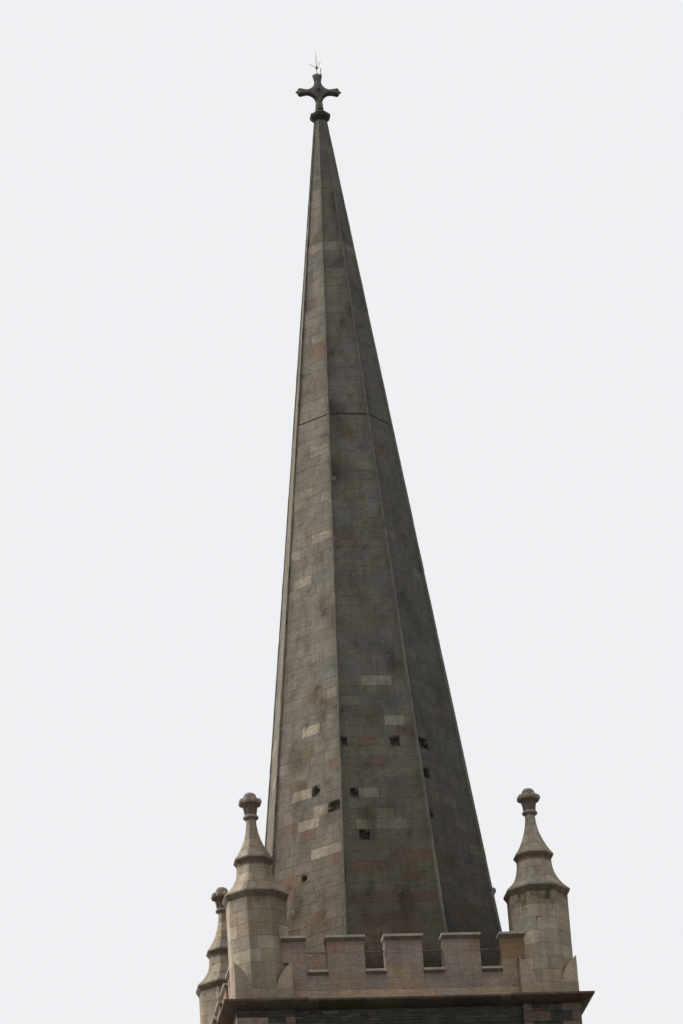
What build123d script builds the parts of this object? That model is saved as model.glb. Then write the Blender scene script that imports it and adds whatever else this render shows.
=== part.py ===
"""Stone spire on the head of a square church tower.

The head of the tower carries a cornice, a battlemented parapet and a pinnacle on each corner.
An octagonal spire with a rib on every arris rises inside the parapet to a collar, a stone cross
and a lightning rod. Millimetres, Z up, origin in the middle of the foot, front face towards -Y.
"""
from build123d import *
from math import cos, radians, sin, sqrt, tan
import os

# Plan of the tower, which follows the spire's foot
pinnacle_width = 1262
pilaster_projection = 90
walkway_width = 341
wall_ledge = 129

# Heights of the tower head
wall_height = 1830
cornice_height = 170
cornice_fillet = 50
cornice_projection = 276

# Corbelled corners that carry the slanting sides of the spire
corbel_courses = 3
corbel_course_height = 220

# Parapet
parapet_setback = 190
parapet_thickness = 320
parapet_height = 625
merlon_height = 765
merlon_width = 815
crenel_width = 450
coping_height = 130
coping_edge = 65
coping_overhang = 50
coping_end_overhang = 25
sill_height = 120
rail_diameter = 28
rail_height = 560

# Pinnacles
base_height = 310
horn_height = 610
horn_bulge = 75
shaft_height = 2090
skirt_projection = 66
skirt_depth = 150
skirt_edge = 32
lower_roof_height = 750
upper_roof_width = 730
upper_roof_height = 955
ridge_projection = 58
ridge_depth = 105
ridge_edge = 26
neck_width = 212
lower_roof_sweep = 0.255
upper_roof_sweep = 0.315
roof_sweep_height = 0.43
ring_diameter = 346
ring_height = 96
ring_roundness = 0.45
cup_foot_diameter = 260
cup_rim_diameter = 380
cup_height = 304
lobe_count = 8
lobe_diameter = 176
lobe_circle = 372
knob_diameter = 310
knob_rise = 85

# Spire
spire_width = 5760
spire_neck_width = 290
spire_height = 23630
spire_thickness = 280
hollow_end_width = 224
rib_width = 150
rib_neck_width = 46
rib_projection = 70
rib_edge_share = 0.7

# Collar and cross
collar_height = 290
collar_splay = 115
collar_lip = 85
collar_neck_width = 340
collar_width = 450
collar_top_width = 370
cross_thickness = 170
cross_chamfer = 22
cross_arm = 520
cross_head = 520
cross_foot = 540
arm_waist = 156
arm_end_width = 250
cross_foot_width = 220
sweep_radius = 250
boss_diameter = 64
boss_reach = 20
rosette_width = 150
rosette_projection = 16
rosette_hollow = 76

# Lightning rod
rod_diameter = 18
rod_height = 640
ball_diameter = 74
ball_height = 175
spike_length = 230
spike_diameter = 12
spike_tilt = 58
spike_count = 3
stub_height = 175
stub_offset = 95

# Places worked out from the sizes
sides = {"front": 0, "right": 90, "back": 180, "left": 270}
corners = {"front_left": (-1, -1), "front_right": (1, -1), "back_right": (1, 1), "back_left": (-1, 1)}
half_turn = radians(22.5)
slope = tan(half_turn)
parapet_back = spire_width / 2 + walkway_width
parapet_front = parapet_back + parapet_thickness
pilaster_face = parapet_front + parapet_setback
pilaster_edge = pilaster_face - pinnacle_width
pinnacle_spacing = pilaster_face + pilaster_edge
wall_face = pilaster_face - pilaster_projection
wall_inside = spire_width / 2 - spire_thickness - wall_ledge
cornice_top = wall_height + cornice_height
parapet_top = cornice_top + parapet_height
merlon_top = parapet_top + merlon_height
pinnacle_half = pinnacle_width / 2
shaft_foot = cornice_top + base_height
base_top = shaft_foot + horn_height
shaft_top = shaft_foot + shaft_height
cap_top = shaft_top + skirt_depth + lower_roof_height + ridge_depth + upper_roof_height
spire_top = cornice_top + spire_height
hollow_share = (spire_width - 2 * spire_thickness - hollow_end_width) / (spire_width - spire_neck_width)
cap_foot = cornice_top + spire_height * hollow_share
cross_centre = spire_top + collar_height + cross_foot
cross_top = cross_centre + cross_head


def block(*levels):
    """Solid with flat sides between outlines of as many corners, stacked at rising heights."""
    rings = [[Vector(x, y, height) for x, y in outline] for height, outline in levels]
    faces = [Face(Wire.make_polygon(rings[0])), Face(Wire.make_polygon(rings[-1]))]
    for low, high in zip(rings, rings[1:]):
        for here in range(len(low)):
            after = (here + 1) % len(low)
            faces.append(Face(Wire.make_polygon([low[here], low[after], high[after], high[here]])))
    return Solid(Shell(faces)).fix()


def box(x, y, z):
    """Box between two limits on each axis."""
    size = [limits[1] - limits[0] for limits in (x, y, z)]
    middle = [sum(limits) / 2 for limits in (x, y, z)]
    return Pos(*middle) * Box(*size)


def octagon(width):
    """Corners of a regular octagon with faces towards the axes, by its width across flats."""
    radius = width / 2 / cos(half_turn)
    turns = [half_turn + index * radians(45) for index in range(8)]
    return [(radius * cos(turn), radius * sin(turn)) for turn in turns]


def octagonal(profile, width):
    """Octagonal solid with the given half profile, drawn to the right of the Z axis."""
    outline = profile + mirror(profile, Plane.YZ)
    strip = extrude(outline, width, both=True)
    whole = strip
    for turn in (45, 90, 135):
        whole = whole & strip.rotate(Axis.Z, turn)
    return whole.solids()[0]


def profile_face(*edges):
    """Half profile in the XZ plane, closed back along the axis."""
    drawn = Wire(edges)
    start, end = drawn @ 0, drawn @ 1
    closing = Polyline(tuple(end), (0, 0, end.Z), (0, 0, start.Z), tuple(start))
    return Face(Wire([*edges, *closing.edges()]))


def line(*points):
    """Straight edges through points given as radius and height."""
    return Polyline(*[(radius, 0, height) for radius, height in points]).edges()


def arc(start, middle, end):
    """Arc through three points given as radius and height."""
    return ThreePointArc(*[(radius, 0, height) for radius, height in (start, middle, end)])


def save(shape, name, angle=0, place=(0, 0)):
    """Turns a shape about the tower's axis, moves it in plan and writes it as a part."""
    placed = Pos(place[0], place[1], 0) * shape.rotate(Axis.Z, angle)
    export_step(placed, f"parts/{name}.step")


def wall_outline(projection):
    """Plan of the front wall's top, with every outer face moved out by a projection."""
    outer, face, edge = pilaster_face + projection, wall_face + projection, pilaster_edge - projection
    return [(-outer, -outer), (-edge, -outer), (-edge, -face), (edge, -face), (edge, -outer),
            (outer, -outer), (wall_inside, -wall_inside), (-wall_inside, -wall_inside)]


def tower_wall():
    """One side of the tower head, mitred to its neighbours, with half a pilaster at each end."""
    plan = wall_outline(0)
    return block((0, plan), (wall_height, plan))


def cornice():
    """Course on one wall: a splayed underside below a plain fillet, returned round the pilasters."""
    outer = wall_outline(cornice_projection)
    fillet_foot = cornice_top - cornice_fillet
    return block((wall_height, wall_outline(0)), (fillet_foot, outer), (cornice_top, outer))


def squinch(across, along):
    """Corbelled block in one inner corner, which carries a slanting side of the spire."""
    reach = wall_inside * 2 - (spire_width / 2 - spire_thickness) * sqrt(2)
    x, y = across * wall_inside, along * wall_inside
    whole = None
    for course in range(corbel_courses):
        leg = reach * (corbel_courses - course) / corbel_courses
        top = cornice_top - course * corbel_course_height
        outline = [(x, y), (x - across * leg, y), (x, y - along * leg)]
        layer = block((top - corbel_course_height, outline), (top, outline))
        whole = layer if whole is None else whole + layer
    return whole


def merlon_spans():
    """Left and right edges of the three free merlons on one side."""
    pitch = merlon_width + crenel_width
    return [(step * pitch - merlon_width / 2, step * pitch + merlon_width / 2) for step in (-1, 0, 1)]


def crenel_spans():
    """Left and right edges of the four crenels on one side."""
    pitch = merlon_width + crenel_width
    middles = [(step + 0.5) * pitch for step in (-2, -1, 0, 1)]
    return [(middle - crenel_width / 2, middle + crenel_width / 2) for middle in middles]


def end_spans():
    """Outer limits and free edges of the two end merlons, which run on to the pinnacles."""
    first = crenel_spans()[0][0]
    return [(-pinnacle_spacing / 2, first), (-first, pinnacle_spacing / 2)]


def clear_of_pinnacles(solid):
    """A piece of the front parapet, cut back to fit against the pinnacles at its ends."""
    square = (-pinnacle_half, pinnacle_half)
    shaft = block((cornice_top, octagon(pinnacle_width)), (shaft_top, octagon(pinnacle_width)))
    core = shaft + box(square, square, (cornice_top, base_top))
    for side in (-1, 1):
        solid = solid - Pos(side * pinnacle_spacing / 2, -pinnacle_spacing / 2, 0) * core
    return solid


def parapet():
    """The low wall between two pinnacle bases."""
    return box((-pilaster_edge, pilaster_edge), (-parapet_front, -parapet_back), (cornice_top, parapet_top))


def merlons():
    """Three free merlons and two that run on to the pinnacles."""
    depth = (-parapet_front, -parapet_back)
    free = [box(span, depth, (parapet_top, merlon_top)) for span in merlon_spans()]
    ends = [box(span, depth, (parapet_top, merlon_top)) for span in end_spans()]
    return free + [clear_of_pinnacles(end) for end in ends]


def coping(span, foot, height, free_ends):
    """Coping stone with a square upper edge over a splayed underside; free ends stand proud too."""
    front, back = parapet_front, parapet_back
    start, end = span
    left = start - coping_end_overhang * free_ends[0]
    right = end + coping_end_overhang * free_ends[1]
    over = coping_overhang
    lower = [(start, -front), (end, -front), (end, -back), (start, -back)]
    upper = [(left, -front - over), (right, -front - over), (right, -back + over), (left, -back + over)]
    return block((foot, lower), (foot + height - coping_edge, upper), (foot + height, upper))


def merlon_copings():
    """Copings on the five merlons of one side."""
    free = [coping(span, merlon_top, coping_height, (1, 1)) for span in merlon_spans()]
    ends = [coping(span, merlon_top, coping_height, free_ends)
            for span, free_ends in zip(end_spans(), ((0, 1), (1, 0)))]
    return free + [clear_of_pinnacles(end) for end in ends]


def sill_copings():
    """Copings on the low wall in the four crenels of one side."""
    return [coping(span, parapet_top, sill_height, (0, 0)) for span in crenel_spans()]


def crenel_rails():
    """Round bar across each crenel, let flush into the merlons on both sides."""
    middle = -(parapet_front + parapet_back) / 2
    height = parapet_top + rail_height
    bar = Rot(0, 90, 0) * Cylinder(rail_diameter / 2, crenel_width)
    return [Pos((start + end) / 2, middle, height) * bar for start, end in crenel_spans()]


def pinnacle_base():
    """Square block flush with the shaft's faces, with a curved horn rising at each corner."""
    square = (-pinnacle_half, pinnacle_half)
    body = box(square, square, (cornice_top, shaft_foot))
    corner, face = pinnacle_half * sqrt(2), pinnacle_half
    middle = (corner + face) / 2
    bulge = shaft_foot + horn_height / 2 + horn_bulge
    edges = [*line((face, shaft_foot), (corner, shaft_foot), (corner, base_top)),
             arc((corner, base_top), (middle, bulge), (face, shaft_foot))]
    ridge = extrude(Face(Wire(edges)), pinnacle_width, both=True)
    around = box(square, square, (shaft_foot, base_top))
    shaft = block((shaft_foot, octagon(pinnacle_width)), (base_top, octagon(pinnacle_width)))
    for turn in (45, 135, 225, 315):
        body = body + (ridge.rotate(Axis.Z, turn) & around - shaft)
    return body


def pinnacle_shaft():
    """Plain octagonal shaft."""
    return block((shaft_foot, octagon(pinnacle_width)), (shaft_top, octagon(pinnacle_width)))


def swept_roof(foot, foot_radius, lip, height, top_radius, sweep):
    """Edges of a lip with a splayed underside, and of the hollow roof above it.

    The lip is given as how far it stands out, how deep it is and how much of that is its square edge.
    """
    projection, depth, edge = lip
    lip_radius = foot_radius + projection
    lip_foot, lip_top = foot + depth - edge, foot + depth
    top = lip_top + height
    middle = (top_radius + (lip_radius - top_radius) * sweep, lip_top + height * roof_sweep_height)
    return [*line((foot_radius, foot), (lip_radius, lip_foot), (lip_radius, lip_top)),
            arc((lip_radius, lip_top), middle, (top_radius, top))]


def pinnacle_cap():
    """Two hollow octagonal roofs, the upper one smaller, each over a lip that throws off rain."""
    skirt = (skirt_projection, skirt_depth, skirt_edge)
    ridge = (ridge_projection, ridge_depth, ridge_edge)
    middle = upper_roof_width / 2
    lower = swept_roof(shaft_top, pinnacle_half, skirt, lower_roof_height, middle, lower_roof_sweep)
    upper_foot = shaft_top + skirt_depth + lower_roof_height
    upper = swept_roof(upper_foot, middle, ridge, upper_roof_height, neck_width / 2, upper_roof_sweep)
    return octagonal(profile_face(*lower, *upper), pinnacle_width)


def pinnacle_finial():
    """Ring, cup and a crown of round lobes about a knob."""
    ring = Pos(0, 0, cap_top + ring_height / 2) * Cylinder(ring_diameter / 2, ring_height)
    ring = fillet(ring.edges(), ring_height * ring_roundness)
    cup_foot = cap_top + ring_height
    cup = Pos(0, 0, cup_foot + cup_height / 2) * Cone(cup_foot_diameter / 2, cup_rim_diameter / 2, cup_height)
    crown_height = cup_foot + cup_height
    whole = ring + cup + Pos(0, 0, crown_height + knob_rise) * Sphere(knob_diameter / 2)
    lobe = Pos(lobe_circle / 2, 0, crown_height) * Sphere(lobe_diameter / 2)
    for index in range(lobe_count):
        whole = whole + Rot(0, 0, (index + 0.5) * 360 / lobe_count) * lobe
    return whole


def share(height):
    """How far a height lies up the spire, from 0 at its foot to 1 at its neck."""
    return (height - cornice_top) / spire_height


def between(foot, top, height):
    """A size that runs evenly from the spire's foot to its neck."""
    return foot + (top - foot) * share(height)


def face_outline(height):
    """Plan of the spire's front face at a height, with its outer corners cut back for the ribs."""
    face = between(spire_width, spire_neck_width, height) / 2
    inside = face - spire_thickness
    rib = between(rib_width, rib_neck_width, height) / 2
    edge = face * slope - rib / cos(half_turn)
    seat = face / cos(half_turn) - rib * slope
    across, along = seat * sin(half_turn), seat * cos(half_turn)
    return [(-edge, -face), (edge, -face), (across, -along), (inside * slope, -inside),
            (-inside * slope, -inside), (-across, -along)]


def spire_face():
    """One slanting side of the spire, mitred to its neighbours, up to the solid cap."""
    return block((cornice_top, face_outline(cornice_top)), (cap_foot, face_outline(cap_foot)))


def cap_outline(height):
    """Plan of the solid cap: the octagon with its corners cut back for the ribs."""
    face = between(spire_width, spire_neck_width, height) / 2
    edge = face * slope - between(rib_width, rib_neck_width, height) / 2 / cos(half_turn)
    outline = []
    for index in range(8):
        turn = radians(45 * index)
        for side in (-edge, edge):
            outline.append((face * sin(turn) + side * cos(turn), side * sin(turn) - face * cos(turn)))
    return outline


def spire_cap():
    """Solid stones that close the top of the spire."""
    return block((cap_foot, cap_outline(cap_foot)), (spire_top, cap_outline(spire_top)))


def rib_outline(height):
    """Plan of a rib on the X axis: it sits on the cut corner and narrows outwards."""
    radius = between(spire_width, spire_neck_width, height) / 2 / cos(half_turn)
    half = between(rib_width, rib_neck_width, height) / 2
    outer = radius + rib_projection * 2 * half / rib_width
    edge = half * rib_edge_share
    return [(radius - half * slope, -half), (outer, -edge), (outer, edge), (radius - half * slope, half)]


def spire_ribs():
    """Eight ribs, one on each arris from the foot to the neck."""
    rib = block((cornice_top, rib_outline(cornice_top)), (spire_top, rib_outline(spire_top)))
    return [rib.rotate(Axis.Z, 22.5 + 45 * index) for index in range(8)]


def spire_collar():
    """Octagonal collar: a splayed neck, a square lip and a weathered top."""
    lip_foot = spire_top + collar_splay
    lip_top, top = lip_foot + collar_lip, spire_top + collar_height
    profile = profile_face(*line((collar_neck_width / 2, spire_top), (collar_width / 2, lip_foot),
                                 (collar_width / 2, lip_top), (collar_top_width / 2, top)))
    return octagonal(profile, collar_width)


def cross_outline():
    """Closed outline of the cross about its crossing: swept corners, and arms that widen to their ends."""
    centre = arm_waist / 2 + sweep_radius
    inner = centre - sweep_radius / sqrt(2)
    waist, arm_end, foot_end = arm_waist / 2, arm_end_width / 2, cross_foot_width / 2
    right = [*line((arm_end, cross_head), (waist, centre)),
             arc((waist, centre), (inner, inner), (centre, waist)),
             *line((centre, waist), (cross_arm, arm_end), (cross_arm, -arm_end), (centre, -waist)),
             arc((centre, -waist), (inner, -inner), (waist, -centre)),
             *line((waist, -centre), (foot_end, -cross_foot))]
    left = [edge.mirror(Plane.YZ) for edge in right]
    head = line((-arm_end, cross_head), (arm_end, cross_head))
    foot = line((-foot_end, -cross_foot), (foot_end, -cross_foot))
    return Wire([*right, *left, *head, *foot])


def cross_body():
    """The cross without its balls and rosettes, with chamfered edges on both faces."""
    outline = Face(cross_outline())
    core_depth = cross_thickness / 2 - cross_chamfer
    core = extrude(outline, core_depth, both=True)
    bevel = extrude(Pos(0, core_depth, 0) * outline, cross_chamfer, taper=45)
    return core + bevel + mirror(bevel, Plane.XZ)


def cross():
    """Stone cross with swept arms, a small ball on each side arm and a hollowed rosette on both faces."""
    whole = cross_body()
    for side in (-1, 1):
        whole = whole + Pos(side * (cross_arm + boss_reach), 0, 0) * Sphere(boss_diameter / 2)
    depth = cross_thickness + 2 * rosette_projection
    whole = whole + Rot(0, 45, 0) * Box(rosette_width, depth, rosette_width)
    hollow = Rot(90, 0, 0) * Cylinder(rosette_hollow / 2, rosette_projection)
    for side in (-1, 1):
        whole = whole - Pos(0, side * (depth - rosette_projection) / 2, 0) * hollow
    return Pos(0, 0, cross_centre) * whole


def lightning_rod():
    """Rod with a ball and slanting spikes, and the end of the conductor beside it."""
    rod = Pos(0, 0, cross_top + rod_height / 2) * Cylinder(rod_diameter / 2, rod_height)
    ball_centre = cross_top + ball_height
    rod = rod + Pos(0, 0, ball_centre) * Sphere(ball_diameter / 2)
    spike = Pos(0, 0, spike_length / 2) * Cylinder(spike_diameter / 2, spike_length)
    for index in range(spike_count):
        turn = 360 / spike_count * index + 180
        rod = rod + Pos(0, 0, ball_centre) * Rot(0, 0, turn) * Rot(0, spike_tilt, 0) * spike
    stub = Pos(stub_offset, 0, cross_top + stub_height / 2) * Cylinder(rod_diameter / 2, stub_height)
    return [rod, stub]


def turned(pieces):
    """Copies of one side's pieces on all four sides."""
    return [piece.rotate(Axis.Z, angle) for angle in sides.values() for piece in pieces]


def together(pieces):
    """Like pieces that stand apart, kept in one part."""
    return Compound(children=[piece.solids()[0] for piece in pieces])


os.makedirs("parts", exist_ok=True)

wall_piece, cornice_piece, parapet_piece = tower_wall(), cornice(), parapet()
for side, angle in sides.items():
    save(wall_piece, f"tower_wall_{side}", angle)
    save(cornice_piece, f"cornice_{side}", angle)
    save(parapet_piece, f"parapet_{side}", angle)

save(together([squinch(*signs) for signs in corners.values()]), "squinches")
save(together(turned(merlons())), "merlons")
save(together(turned(merlon_copings() + sill_copings())), "copings")
save(together(turned(crenel_rails())), "crenel_rails")

pinnacle_pieces = {"pinnacle_base": pinnacle_base(), "pinnacle_shaft": pinnacle_shaft(),
                   "pinnacle_cap": pinnacle_cap(), "pinnacle_finial": pinnacle_finial()}
for corner, (across, along) in corners.items():
    place = (across * pinnacle_spacing / 2, along * pinnacle_spacing / 2)
    for name, piece in pinnacle_pieces.items():
        save(piece, f"{name}_{corner}", 0, place)

face_names = ["front", "front_right", "right", "back_right", "back", "back_left", "left", "front_left"]
face_piece = spire_face()
for index, name in enumerate(face_names):
    save(face_piece, f"spire_face_{name}", 45 * index)
save(together(spire_ribs()), "spire_ribs")
save(spire_cap(), "spire_cap")
save(spire_collar(), "spire_collar")
save(cross(), "cross")
save(together(lightning_rod()), "lightning_rod")
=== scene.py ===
"""Dresses the frame of a stone spire and its tower head with laid stones, weathering and light.

Each piece is laid stone by stone on the faces that the frame gives, over a core of mortar, so it keeps
the frame's sizes. Metres, Z up, front face towards -Y.
"""
import random
from collections import namedtuple
from math import atan2, cos, floor, pi, radians, sin, sqrt, tan

import bpy
from mathutils import Matrix, Vector, noise


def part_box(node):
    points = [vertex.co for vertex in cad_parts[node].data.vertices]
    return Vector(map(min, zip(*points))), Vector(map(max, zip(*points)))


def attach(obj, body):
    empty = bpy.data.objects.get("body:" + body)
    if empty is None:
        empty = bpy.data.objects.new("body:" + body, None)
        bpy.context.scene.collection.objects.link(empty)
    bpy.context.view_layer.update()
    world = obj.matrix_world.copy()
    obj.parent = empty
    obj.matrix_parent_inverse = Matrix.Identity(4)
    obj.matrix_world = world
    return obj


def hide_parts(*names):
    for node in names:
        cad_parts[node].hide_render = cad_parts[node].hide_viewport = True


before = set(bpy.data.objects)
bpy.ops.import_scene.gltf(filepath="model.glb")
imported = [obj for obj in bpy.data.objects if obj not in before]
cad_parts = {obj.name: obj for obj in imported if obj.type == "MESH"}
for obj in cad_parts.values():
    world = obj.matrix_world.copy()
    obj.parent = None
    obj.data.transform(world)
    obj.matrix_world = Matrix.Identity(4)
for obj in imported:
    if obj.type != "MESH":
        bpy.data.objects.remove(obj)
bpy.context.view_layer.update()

# Vectors of noise start from a seed, so that the stones are as uneven in every run
noise.seed_set(7)

bl_info = {
    "name": "Stone Spire",
    "version": (1, 0, 0),
    "blender": (4, 5, 0),
    "location": "View3D > Sidebar > Spire",
    "description": "Lays the stones of a spire and its battlemented tower head on their frame",
    "category": "Add Mesh",
}

# Places read from the frame
WALL_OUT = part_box("tower_wall_front")[1].x
WALL_IN = -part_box("tower_wall_front")[1].y
WALL_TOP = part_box("tower_wall_front")[1].z
CORNICE_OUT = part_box("cornice_front")[1].x
CORNICE_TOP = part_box("cornice_front")[1].z
PILASTER_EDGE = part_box("parapet_front")[1].x
PARAPET_FRONT = -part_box("parapet_front")[0].y
PARAPET_BACK = -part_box("parapet_front")[1].y
PARAPET_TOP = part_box("parapet_front")[1].z
MERLON_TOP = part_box("merlons")[1].z
COPING_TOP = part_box("copings")[1].z
BASE_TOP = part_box("pinnacle_base_front_right")[1].z
SHAFT_LOW, SHAFT_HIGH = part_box("pinnacle_shaft_front_right")
PINNACLE_AT = (SHAFT_LOW.x + SHAFT_HIGH.x) / 2
PINNACLE_HALF = (SHAFT_HIGH.x - SHAFT_LOW.x) / 2
CAP_LOW, CAP_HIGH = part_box("pinnacle_cap_front_right")
FINIAL_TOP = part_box("pinnacle_finial_front_right")[1].z
SPIRE_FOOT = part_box("spire_face_front")[0].z
SPIRE_HALF = -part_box("spire_face_front")[0].y
CAP_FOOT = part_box("spire_cap")[0].z
SPIRE_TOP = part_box("spire_cap")[1].z
TAPER = (SPIRE_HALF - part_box("spire_cap")[1].y) / (CAP_FOOT - SPIRE_FOOT)
TILT = atan2(TAPER, 1)
COLLAR_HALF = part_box("spire_collar")[1].y
COLLAR_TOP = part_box("spire_collar")[1].z
CROSS_LOW, CROSS_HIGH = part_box("cross")
ROD_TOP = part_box("lightning_rod")[1].z

EIGHTH = radians(45)
SLOPE = tan(EIGHTH / 2)
SIDES = ("front", "right", "back", "left")
CORNERS = {"front_left": (-1, -1), "front_right": (1, -1), "back_right": (1, 1), "back_left": (-1, 1)}
SPIRE_SIDES = ("front", "front_right", "right", "back_right", "back", "back_left", "left", "front_left")

# How stones are dressed: half the joint, the rounded edge, how deep the mortar lies, how uneven the
# face is, how closely it is divided and how often a corner is broken off
Dressing = namedtuple("Dressing", "joint bevel depth relief step chips")
SPIRE_ASHLAR = Dressing(0.0018, 0.003, 0.008, 0.0022, 0.12, 0.10)
FINE_ASHLAR = Dressing(0.0015, 0.003, 0.008, 0.0015, 0.16, 0.03)
BUFF_ASHLAR = Dressing(0.0012, 0.003, 0.008, 0.0015, 0.16, 0.05)
QUOIN = Dressing(0.002, 0.005, 0.010, 0.003, 0.13, 0.08)
RUBBLE = Dressing(0.004, 0.008, 0.014, 0.009, 0.10, 0.0)
MOULDED = Dressing(0.0015, 0.004, 0.010, 0.002, 0.22, 0.0)
ERODED = Dressing(0.003, 0.008, 0.012, 0.005, 0.13, 0.0)
MORTAR_DEPTH, POINTING = 0.006, 0.0035

# Finishes of a shell, in the order of each piece's material slots
STONE, MORTAR = 0, 1

# A stain is given as shares of moss, ochre and soot, where the soot share also carries painted shade, and a
# rough shape has a tint until it is worn
CLEAN = (0.0, 0.0, 0.0)
ROUGH = (0.2, 0.2, 0.2)

# Colours that weather adds: damp ochre, rain marks, two greens of moss, and soot, which also serves as
# painted shade
OCHRE, RAIN, SOOT_AND_SHADE = (0.24, 0.125, 0.045), (0.58, 0.56, 0.53), (0.22, 0.19, 0.165)
DARK_MOSS, PALE_MOSS = (0.075, 0.078, 0.028), (0.125, 0.115, 0.055)

# Roughness and sheen of stone, and the angle above which an edge shades sharp
STONE_ROUGHNESS, STONE_SHEEN = 0.92, 0.25
SHARP = radians(20)

# Kinds of odd stones, as shares of their neighbours' colour
CASTS = {
    "plain": (1.00, 1.00, 1.00),
    "pale": (1.75, 1.70, 1.60),
    "light": (1.38, 1.34, 1.28),
    "lilac": (0.98, 0.94, 0.98),
    "pink": (1.06, 0.95, 0.90),
    "buff": (1.06, 1.00, 0.88),
    "brown": (0.92, 0.82, 0.70),
    "ochre": (0.80, 0.66, 0.46),
    "red": (1.02, 0.82, 0.74),
    "grey": (0.88, 0.92, 0.95),
}

# How bright each side of the spire is painted: mostly painted light and shade, paler on the sides towards
# the key light and darker on those turned from it, and partly weathering
SIDE_LIGHT_AND_WEATHER = {
    "front": (1.00, 1.00, 1.00), "front_left": (1.50, 1.44, 1.40), "left": (1.34, 1.30, 1.26),
    "back_left": (1.28, 1.24, 1.19), "back": (1.00, 0.99, 0.97), "back_right": (0.90, 0.90, 0.90),
    "right": (0.76, 0.76, 0.78), "front_right": (0.66, 0.67, 0.71),
}

# Odd stones on the sides of the spire: height of the middle of the course, left and right edge, kind
ODD_STONES = {
    "front": (
        (10.05, -0.27, 0.07, "pale"), (10.05, 0.07, 0.42, "pale"), (9.05, 0.18, 0.64, "pale"),
        (8.52, -0.90, -0.70, "missing"), (8.52, -0.44, -0.04, "red"), (8.52, 0.26, 0.48, "missing"),
        (7.30, -0.74, -0.55, "missing"), (7.30, -0.50, -0.10, "pale"), (7.04, -0.80, -0.26, "light"),
        (6.78, -0.37, 0.22, "light"), (6.52, -0.66, -0.14, "pale"), (6.52, -0.14, 0.48, "light"),
        (6.26, -0.62, -0.38, "missing"), (5.74, 0.12, 0.95, "red"), (5.50, -0.85, -0.30, "red"),
        (5.50, 0.38, 0.62, "red"), (5.24, 0.22, 0.80, "brown"), (4.72, -0.30, 0.30, "red"),
        (4.20, -0.30, 0.48, "red"), (3.95, -0.10, 0.60, "red"),
    ),
    "front_left": (
        (19.1, -0.19, 0.27, "red"), (18.84, -0.10, 0.28, "red"), (16.27, -0.08, 0.46, "light"),
        (14.86, -0.45, -0.12, "light"), (12.90, -0.50, 0.03, "light"), (9.82, -0.19, 0.19, "brown"),
        (9.05, -0.21, 0.31, "pale"), (8.55, -0.29, 0.09, "brown"), (8.05, 0.60, 0.88, "red"),
        (7.78, -0.51, -0.07, "brown"), (7.54, -0.47, 0.10, "pale"), (7.54, 0.10, 0.33, "missing"),
        (7.04, 0.14, 0.57, "pale"), (7.04, 0.66, 0.88, "missing"), (6.78, -0.66, -0.28, "red"),
        (6.78, -0.26, 0.33, "pale"), (6.04, 0.09, 0.58, "pale"), (6.04, 0.58, 0.93, "pale"),
        (5.50, -0.16, 0.00, "missing"),
    ),
    "front_right": (
        (8.80, -0.34, -0.05, "pink"), (8.55, -0.80, -0.45, "missing"), (7.78, -0.86, -0.62, "missing"),
        (7.30, -0.70, -0.20, "light"), (7.30, -0.20, 0.22, "light"), (6.78, -0.93, -0.76, "missing"),
        (6.78, 0.05, 0.52, "light"), (6.52, 0.38, 0.84, "pink"),
    ),
    "right": ((12.4, 0.10, 0.45, "missing"), (9.1, -0.30, 0.20, "pale"), (6.52, -0.55, -0.05, "light")),
    "back": ((11.6, -0.25, 0.25, "pale"), (7.8, -0.60, -0.10, "pale"), (5.5, 0.20, 0.75, "red")),
    "left": ((10.3, 0.35, 0.55, "missing"), (8.3, -0.10, 0.42, "pale"), (6.0, -0.70, -0.20, "brown")),
    "back_left": ((13.4, -0.30, 0.15, "light"), (7.0, 0.05, 0.60, "pale")),
    "back_right": ((9.6, -0.20, 0.30, "red"), (6.3, -0.45, 0.10, "light")),
}

# Damp ochre stains on the spire: side, height, place across and reach
OCHRE_STAINS = (("front", 16.62, -0.03, 0.24), ("front_right", 17.0, 0.33, 0.20))


def length_setting(name, description, default):
    """A length that a user can change."""
    return bpy.props.FloatProperty(name=name, description=description, default=default, unit="LENGTH")


def colour_setting(name, description, default):
    """A colour that a user can change."""
    return bpy.props.FloatVectorProperty(name=name, description=description, default=default,
                                         subtype="COLOR")


class StoneSizes(bpy.types.PropertyGroup):
    """Sizes of the stones and of the forms that the frame's boxes don't give."""
    course: length_setting("Course", "Height of a course on the spire", 0.2571)
    stone: length_setting("Stone", "Usual length of a stone on the spire", 0.45)
    bed: length_setting("Bed", "Depth of the facing stones on the spire", 0.11)
    shell: length_setting("Shell", "Thickness of the spire's sides", 0.28)
    band: length_setting("Band", "Height of the open joint that runs round the spire", 17.17)
    band_gap: length_setting("Band gap", "Width of that joint", 0.034)
    quoin: length_setting("Quoin", "Height of a quoin on the tower", 0.2288)
    pilaster: length_setting("Pilaster", "How far a pilaster stands out", 0.09)
    fillet: length_setting("Fillet", "Height of the cornice's square edge", 0.05)
    rib_foot: length_setting("Rib foot", "Width of a rib at its foot", 0.092)
    rib_neck: length_setting("Rib neck", "Width of a rib at its top", 0.036)
    rib_proud: length_setting("Rib proud", "How far a rib stands out at its foot", 0.042)
    merlon: length_setting("Merlon", "Width of a merlon", 0.815)
    crenel: length_setting("Crenel", "Width of a gap between merlons", 0.45)


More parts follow.
